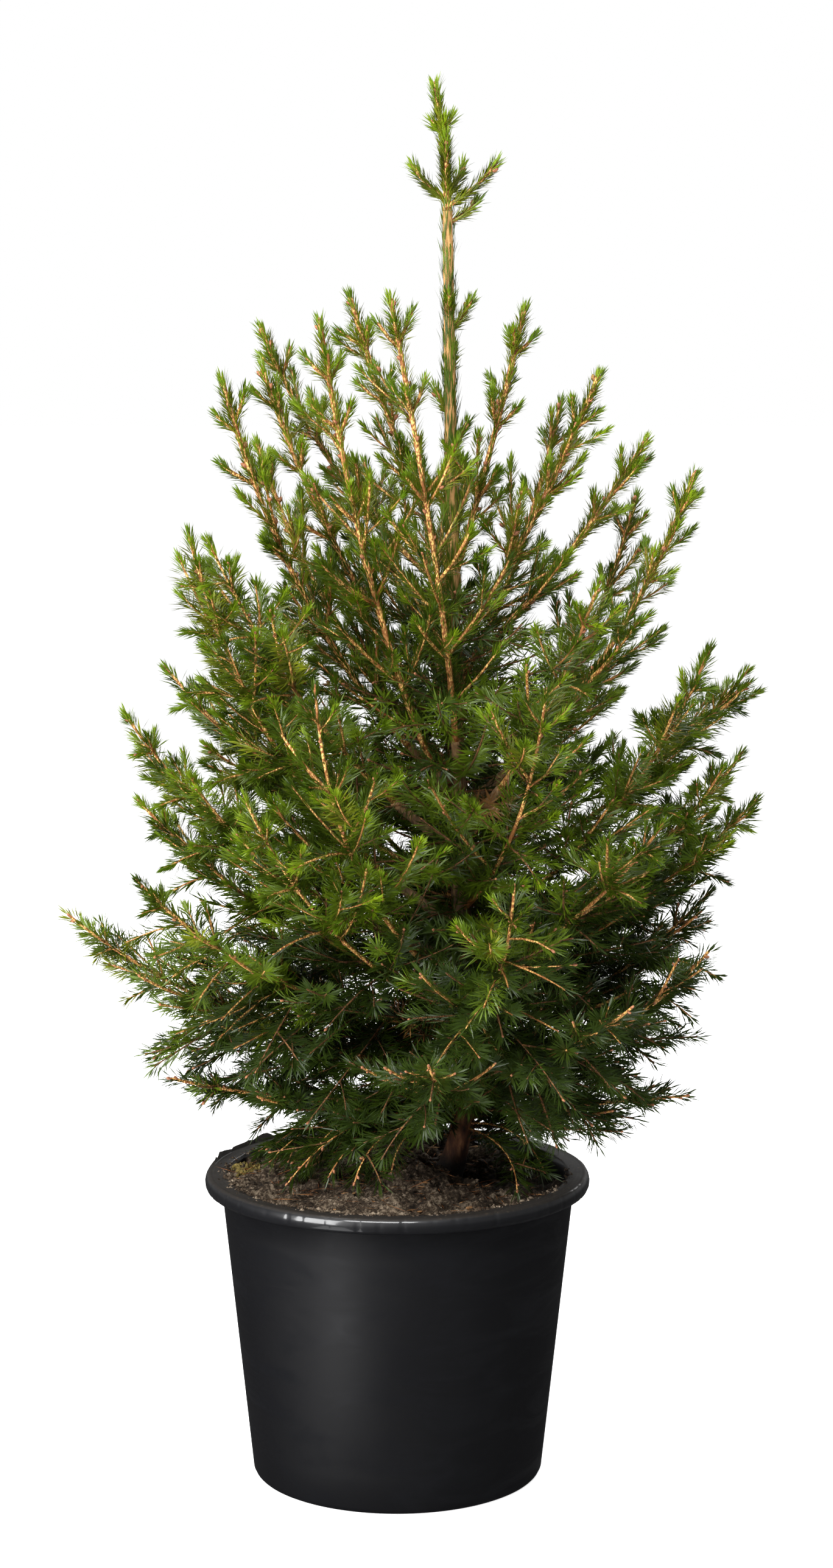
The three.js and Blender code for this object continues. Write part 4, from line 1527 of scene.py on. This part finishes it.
def creases(radius, turns, inTear, first, count):
    # fine upright creases in the roll
    around = turns * pot["rimRadius"]
    draw = np.random.RandomState(pot["creaseSeed"])
    total = np.zeros(len(turns))
    circle = fullTurn * pot["rimRadius"]
    for k in range(int(circle / pot["creaseGap"])):
        centre = (k + draw.uniform(*pot["creaseShift"])) * pot["creaseGap"]
        apart = (around - centre + circle / 2) % circle - circle / 2
        total += draw.uniform(*pot["creaseDepths"]) * bell(apart, pot["creaseWidth"])
    low, high = pot["creaseRows"]
    for row in range(first + low, first + count + high):
        radius[row] -= pot["creaseDepth"] * total * (1 - inTear)


def lathe(points):
    # quads between neighbouring rows and columns of a closed turned shape
    rows, columns = points.shape[:2]
    i = np.arange(rows - 1)[:, None] * columns
    j = np.arange(columns)[None, :]
    nextJ = (j + 1) % columns
    faces = np.stack([i + j, i + nextJ, i + columns + nextJ, i + columns + j], -1).reshape(-1, 4)
    return points.reshape(-1, 3), faces


def potFinish():
    # satin black plastic with faint smudges, glossier on its rim, and dust on the flange
    finish = Finish("blackPlastic", **{"Specular IOR Level": 0.36, "Coat Roughness": 0.1})
    smudges = finish.noise(9, 4, 0.6, finish.stretched(0.35))
    streaks = finish.noise(13, 5, 0.62, finish.stretched(3.2), 0.8)
    scuffs = finish.rise(streaks, 0.46, 0.72)
    height = finish.height() * (1 / (pot["rimTop"] * metres))
    rim = finish.rise(height, *pot["glossFrom"])
    flange = finish.rise(height, *pot["dustFrom"])
    dust = finish.rise(finish.noise(300, 4, 0.7), 0.56, 0.7)
    plastic = finish.mix(smudges, paint(3, 3, 5), paint(10, 10, 13))
    plastic = finish.mix(scuffs * 0.3, plastic, paint(26, 27, 30))
    finish.colour(finish.mix(flange * (0.2 + 0.55 * dust), plastic, paint(74, 64, 52)))
    finish.rough(0.47 - 0.2 * scuffs + 0.08 * smudges + 0.3 * flange)
    finish.feed(finish.shader.inputs["Coat Weight"], 0.78 * rim * (1 - flange))
    finish.bump(finish.noise(420, 2) * 0.5 + finish.noise(30, 2), 0.1, 0.0005)
    return finish


def makePot():
    meshPiece("potShell", *potMesh(), potFinish(), "pot", ["pot"])


# the soil, with the source's humps and hollow, crumbs, chips, moss and fallen needles. Humps are x, y,
# width and rise; lumps, grain and fine are a depth, a size and a seed; crumb sizes a least, a most
# and a power
soil = {
    "seed": 77,
    "level": 214,
    "humps": [(-98, 4, 56, 8), (-18, -100, 66, 7), (14, -30, 32, 12), (98, 18, 44, -9)],
    "hollow": (36, 24, 22, 14),
    "mound": (18, -22, 25, 6.5),
    "highest": 228,
    "lowest": 205,
    "edge": 222,
    "edgeWidth": 12,
    "radius": 123.4,
    "skirt": 0.97,
    "depth": 60,
    "middle": 0.001,
    "rings": 110,
    "ringPower": 0.8,
    "columns": 260,
    "lumps": (2.6, 26, 31),
    "grain": (1.2, 7, 32),
    "fine": (0.8, 4.5, 33),
    "shadeBelow": (0.209, 0.217),
    "clumpSeed": 41,
    "clumps": 420,
    "clumpRadius": (3, 9.5),
    "clumpRise": 0.6,
    "inset": 4,
    "crumbs": 3600,
    "crumbSize": (0.4, 1.5, 5),
    "crumbSink": -0.3,
    "spilled": 1300,
    "spillTurn": (250, 0.85),
    "spillIn": 2.5,
    "spillSpread": 4,
    "spillDepth": 0.4,
    "chips": 60,
    "chipSize": (4.6, 1.9, 0.9),
    "chipSizes": (0.8, 1.2),
    "chipSink": -1,
    "litter": 520,
    "litterIn": 12,
    "litterSink": -1.6,
    "litterTilt": 0.13,
    "litterLength": (9, 17),
    "litterWidth": 0.8,
    "fibres": 70,
    "fibreLength": 2.2,
    "moss": 420,
    "mossPlace": (-106, 8, 15),
    "mossRise": 0.5,
    "mossSizes": (0.8, 1.9),
    "mossTall": 1.1,
}


def hump(x, y, place):
    centreX, centreY, width, rise = place
    return rise * bell(np.hypot(x - centreX, y - centreY), width)


def soilRelief(x, y, name):
    depth, size, seed = soil[name]
    return depth * ripples(np.stack([x, y, np.zeros_like(x)], -1), size, seed)


def clumps(x, y):
    # rounded clods of every size, side by side
    draw = np.random.RandomState(soil["clumpSeed"])
    count = soil["clumps"]
    turn = draw.uniform(0, fullTurn, count)
    reach = soil["radius"] * np.sqrt(draw.uniform(0, 1, count))
    least, most = soil["clumpRadius"]
    radii = least + (most - least) * draw.uniform(0, 1, count) ** 2
    rise = np.zeros(np.shape(x))
    for centreX, centreY, radius in zip(reach * np.cos(turn), reach * np.sin(turn), radii):
        apart = np.hypot(x - centreX, y - centreY) / radius
        rise = np.maximum(rise, soil["clumpRise"] * radius * np.sqrt(np.clip(1 - apart**2, 0, 1)))
    return rise - soil["clumpRise"] * least


def soilHeight(x, y):
    z = np.full(np.shape(x), float(soil["level"]))
    for place in soil["humps"]:
        z += hump(x, y, place)
    z += soilRelief(x, y, "lumps") + soilRelief(x, y, "grain") + clumps(x, y)
    z -= hump(x, y, soil["hollow"])
    edge = [soil["radius"] - soil["edgeWidth"], soil["radius"]]
    highest = np.interp(np.hypot(x, y), edge, [soil["highest"], soil["edge"]])
    return np.clip(z, soil["lowest"], highest) + hump(x, y, soil["mound"])


def soilMesh():
    turns = fullTurn * np.arange(soil["columns"]) / soil["columns"]
    shares = np.linspace(soil["middle"], 1, soil["rings"])[:, None]
    reach = shares ** soil["ringPower"] * soil["radius"]
    x, y = reach * np.cos(turns), reach * np.sin(turns)
    top = np.stack([x, y, soilHeight(x, y) + soilRelief(x, y, "fine")], -1)
    skirt = top[-1:].copy()
    skirt[..., :2] *= soil["skirt"]
    skirt[..., 2] -= soil["depth"]
    under = skirt.copy()
    under[..., :2] *= soil["middle"]
    return lathe(np.concatenate([under, skirt, top[::-1]]))


def blobs(places, sizes, draw, flat=0.8, roughness=0.25):
    # small uneven lumps with eight faces each
    corners = np.array([[1, 0, 0], [0, 1, 0], [-1, 0, 0], [0, -1, 0], [0, 0, 1], [0, 0, -1]], float)
    upper = [[0, 1, 4], [1, 2, 4], [2, 3, 4], [3, 0, 4]]
    pattern = np.array(upper + [[1, 0, 5], [2, 1, 5], [3, 2, 5], [0, 3, 5]])
    count = len(places)
    spin = draw.uniform(0, fullTurn, count)
    cos, sin = np.cos(spin)[:, None], np.sin(spin)[:, None]
    shapes = corners[None] * (1 + roughness * draw.normal(size=(count, 6, 1))) * sizes[:, None]
    shapes[..., 2] *= flat
    x = shapes[..., 0] * cos - shapes[..., 1] * sin
    y = shapes[..., 0] * sin + shapes[..., 1] * cos
    points = np.stack([x, y, shapes[..., 2]], -1) + places[:, None]
    faces = (np.arange(count)[:, None, None] * 6 + pattern).reshape(-1, 3)
    return points.reshape(-1, 3), faces


def scattered(count, draw, sink, radius):
    turn = draw.uniform(0, fullTurn, count)
    reach = np.sqrt(draw.uniform(0, 1, count)) * radius
    x, y = reach * np.cos(turn), reach * np.sin(turn)
    return np.stack([x, y, soilHeight(x, y) - sink], 1)


def spilled(draw):
    # soil that has spilled on the flange, mostly in front
    middle, spread = soil["spillTurn"]
    turn = draw.normal(math.radians(middle), spread, soil["spilled"])
    inner = pot["flangeInner"] - soil["spillIn"]
    reach = inner + np.abs(draw.normal(0, soil["spillSpread"], soil["spilled"]))
    level = np.full(len(turn), pot["rimTop"] - soil["spillDepth"])
    return np.stack([reach * np.cos(turn), reach * np.sin(turn), level], 1)


def groundFinish(name, dark, middle, light, scale):
    # mottled in fine grain and in wide patches, and darkened with painted shade where the ground lies
    # low
    finish = Finish(name, Roughness=0.95, **{"Specular IOR Level": 0.2})
    lumps = 0.62 * finish.noise(scale, 4, 0.65) + 0.38 * finish.noise(70, 3)
    unshaded = finish.ramp(lumps, (0.38, paint(*dark)), (0.5, paint(*middle)), (0.64, paint(*light)))
    darkest, shadeTop = soil["shadeBelow"]
    lowShade = finish.ramp(finish.height(), (darkest, white), (shadeTop, black))
    # painted shade: the colour turns near black below a given height
    finish.colour(finish.mix(lowShade * 0.8, unshaded, paint(24, 20, 15)))
    finish.bump(finish.noise(scale * 6, 3), 0.6, 0.001)
    return finish


def makeSoil():
    draw = np.random.RandomState(soil["seed"])
    within = soil["radius"] - soil["inset"]
    bed = groundFinish("pottingSoil", (20, 15, 10), (58, 47, 36), (136, 121, 102), 420)
    meshPiece("soilBed", *soilMesh(), bed, "soil", ["soil"])
    least, more, power = soil["crumbSize"]
    uneven = draw.uniform(0, 1, (soil["crumbs"] + soil["spilled"], 1)) ** power
    crumbs = groundFinish("soilCrumbs", (28, 22, 16), (70, 58, 46), (160, 144, 124), 130)
    places = scattered(soil["crumbs"], draw, soil["crumbSink"], within)
    places = np.vstack([places, spilled(draw)])
    made = blobs(places, least + more * uneven * np.ones(3), draw)
    meshPiece("soilCrumbs", *made, crumbs, "soil", smooth=False)
    sizes = draw.uniform(*soil["chipSizes"], (soil["chips"], 1)) * np.array(soil["chipSize"])
    chips = groundFinish("barkChips", (84, 60, 40), (136, 100, 66), (176, 138, 96), 240)
    made = blobs(scattered(soil["chips"], draw, soil["chipSink"], within), sizes, draw)
    meshPiece("barkChips", *made, chips, "soil", smooth=False)
    makeMoss(draw)
    makeLitter(draw)


def makeMoss(draw):
    x, y, radius = soil["mossPlace"]
    spread = scattered(soil["moss"], draw, 0, radius)
    spread[:, :2] += (x, y)
    spread[:, 2] = soilHeight(spread[:, 0], spread[:, 1]) + soil["mossRise"]
    sizes = draw.uniform(*soil["mossSizes"], (soil["moss"], 1)) * np.ones(3)
    moss = groundFinish("moss", (52, 46, 22), (96, 84, 42), (150, 132, 78), 200)
    made = blobs(spread, sizes, draw, soil["mossTall"])
    meshPiece("mossTuft", *made, moss, "soil", smooth=False)


def makeLitter(draw):
    # fallen needles and fibres lie every way on the soil
    count = soil["litter"]
    feet = scattered(count, draw, soil["litterSink"], soil["radius"] - soil["litterIn"])
    turn = draw.uniform(0, fullTurn, count)
    tilt = draw.normal(0, soil["litterTilt"], count)
    axes = np.stack([np.cos(turn) * np.cos(tilt), np.sin(turn) * np.cos(tilt), np.sin(tilt)], 1)
    upward = unit(np.array([0, 0, 1.0]) - axes[:, 2:] * axes)
    lengths = draw.uniform(*soil["litterLength"], count)
    lengths[:soil["fibres"]] *= soil["fibreLength"]
    made = (feet, axes, upward, np.zeros(count), lengths, np.full(count, soil["litterWidth"]))
    litter = groundFinish("fallenNeedles", (92, 48, 24), (150, 92, 48), (206, 160, 104), 120)
    meshPiece("fallenNeedles", *needleMesh([made]), litter, "soil")


stage = {"half": 40, "dark": (0.86, 0.86, 0.86, 1), "light": (0.9, 0.9, 0.9, 1), "glow": 0.83}


def makeStage():
    # plain pale floor, not part of the plant
    mesh = bpy.data.meshes.new("floor")
    half = stage["half"]
    corners = [(-half, -half, 0), (half, -half, 0), (half, half, 0), (-half, half, 0)]
    mesh.from_pydata(corners, [], [(0, 1, 2, 3)])
    floor = linked("floor", mesh)
    sockets = {"Specular IOR Level": 0.1, "Emission Strength": stage["glow"]}
    finish = Finish("paleFloor", Roughness=0.9, **sockets)
    finish.colour(finish.mix(finish.noise(1.5, 2), stage["dark"], stage["light"]))
    finish.shader.inputs["Emission Color"].default_value = white
    mesh.materials.append(finish.material)
    floor.visible_glossy = False


# soft studio light: a tall softbox at the left, high ones in front and above, one behind, a faint glow
# from the floor beside the pot, and a pale room
lights = {
    "softbox": {"place": (-1.45, -1.35, 0.75), "size": (0.9, 1.5), "power": 58},
    "front": {"place": (-0.45, -2.1, 2.7), "size": (2.0, 0.8), "power": 92},
    "top": {"place": (-0.5, 0.1, 2.8), "size": (1.2, 1.2), "power": 40},
    "back": {"place": (0.9, 2.0, 1.7), "size": (1.2, 1.2), "power": 34},
    "floorGlow": {"place": (-0.25, -0.37, 0.012), "size": (0.13, 0.42), "power": 0.3, "turn": 33},
}
room = {"above": 0.22, "below": 0.05, "seen": 1.0, "horizon": 0.1}
aim = (0, 0, 0.5)


def makeLights():
    for name, setting in lights.items():
        data = bpy.data.lights.new(name, "AREA")
        data.shape = "RECTANGLE"
        data.size, data.size_y = setting["size"]
        data.energy = setting["power"]
        lamp = linked(name, data)
        lamp.location = setting["place"]
        lamp.visible_camera = False
        if "turn" in setting:
            lamp.rotation_euler = (math.pi, 0, math.radians(-setting["turn"]))
        else:
            way = Vector(aim) - lamp.location
            lamp.rotation_euler = way.to_track_quat("-Z", "Y").to_euler()


def makeRoom():
    # the room is lit from above the floor, and seen as plain white
    world.use_nodes = True
    graph = Graph(world.node_tree)
    background = graph.tree.nodes["Background"]
    background.inputs["Color"].default_value = white
    way = graph.node("ShaderNodeTexCoord", output="Generated")
    height = graph.node("ShaderNodeSeparateXYZ", inputs={0: way}, output="Z")
    heights = {"From Min": -room["horizon"], "From Max": room["horizon"]}
    levels = {"Value": height, "To Min": room["below"], "To Max": room["above"]}
    level = graph.node("ShaderNodeMapRange", inputs=heights | levels)
    seen = graph.node("ShaderNodeLightPath", output="Is Camera Ray")
    strength = graph.node("ShaderNodeMix", inputs={"Factor": seen, "A": level, "B": room["seen"]})
    graph.feed(background.inputs["Strength"], strength)


# the photograph's view
camera = {"place": (0, -2.285, 0.806), "down": 0.13, "right": 0.0061, "lens": 73.65, "sensor": 36}


def makeCamera():
    data = bpy.data.cameras.new("camera")
    data.lens = camera["lens"]
    data.sensor_width = camera["sensor"]
    data.sensor_height = camera["sensor"]
    data.sensor_fit = "AUTO"
    thing = linked("camera", data)
    thing.location = camera["place"]
    thing.rotation_euler = (math.pi / 2 - camera["down"], 0, -camera["right"])
    bpy.context.scene.camera = thing


bpy.context.scene.view_settings.view_transform = "Standard"
makeCamera()
makeLights()
makeRoom()
makeStage()
makePot()
makeSoil()
wornBark = barkFinish()
makeTrunk(wornBark)
makeLimbs(wornBark)
makeTwigs()
makeBuds()
makeNeedles()
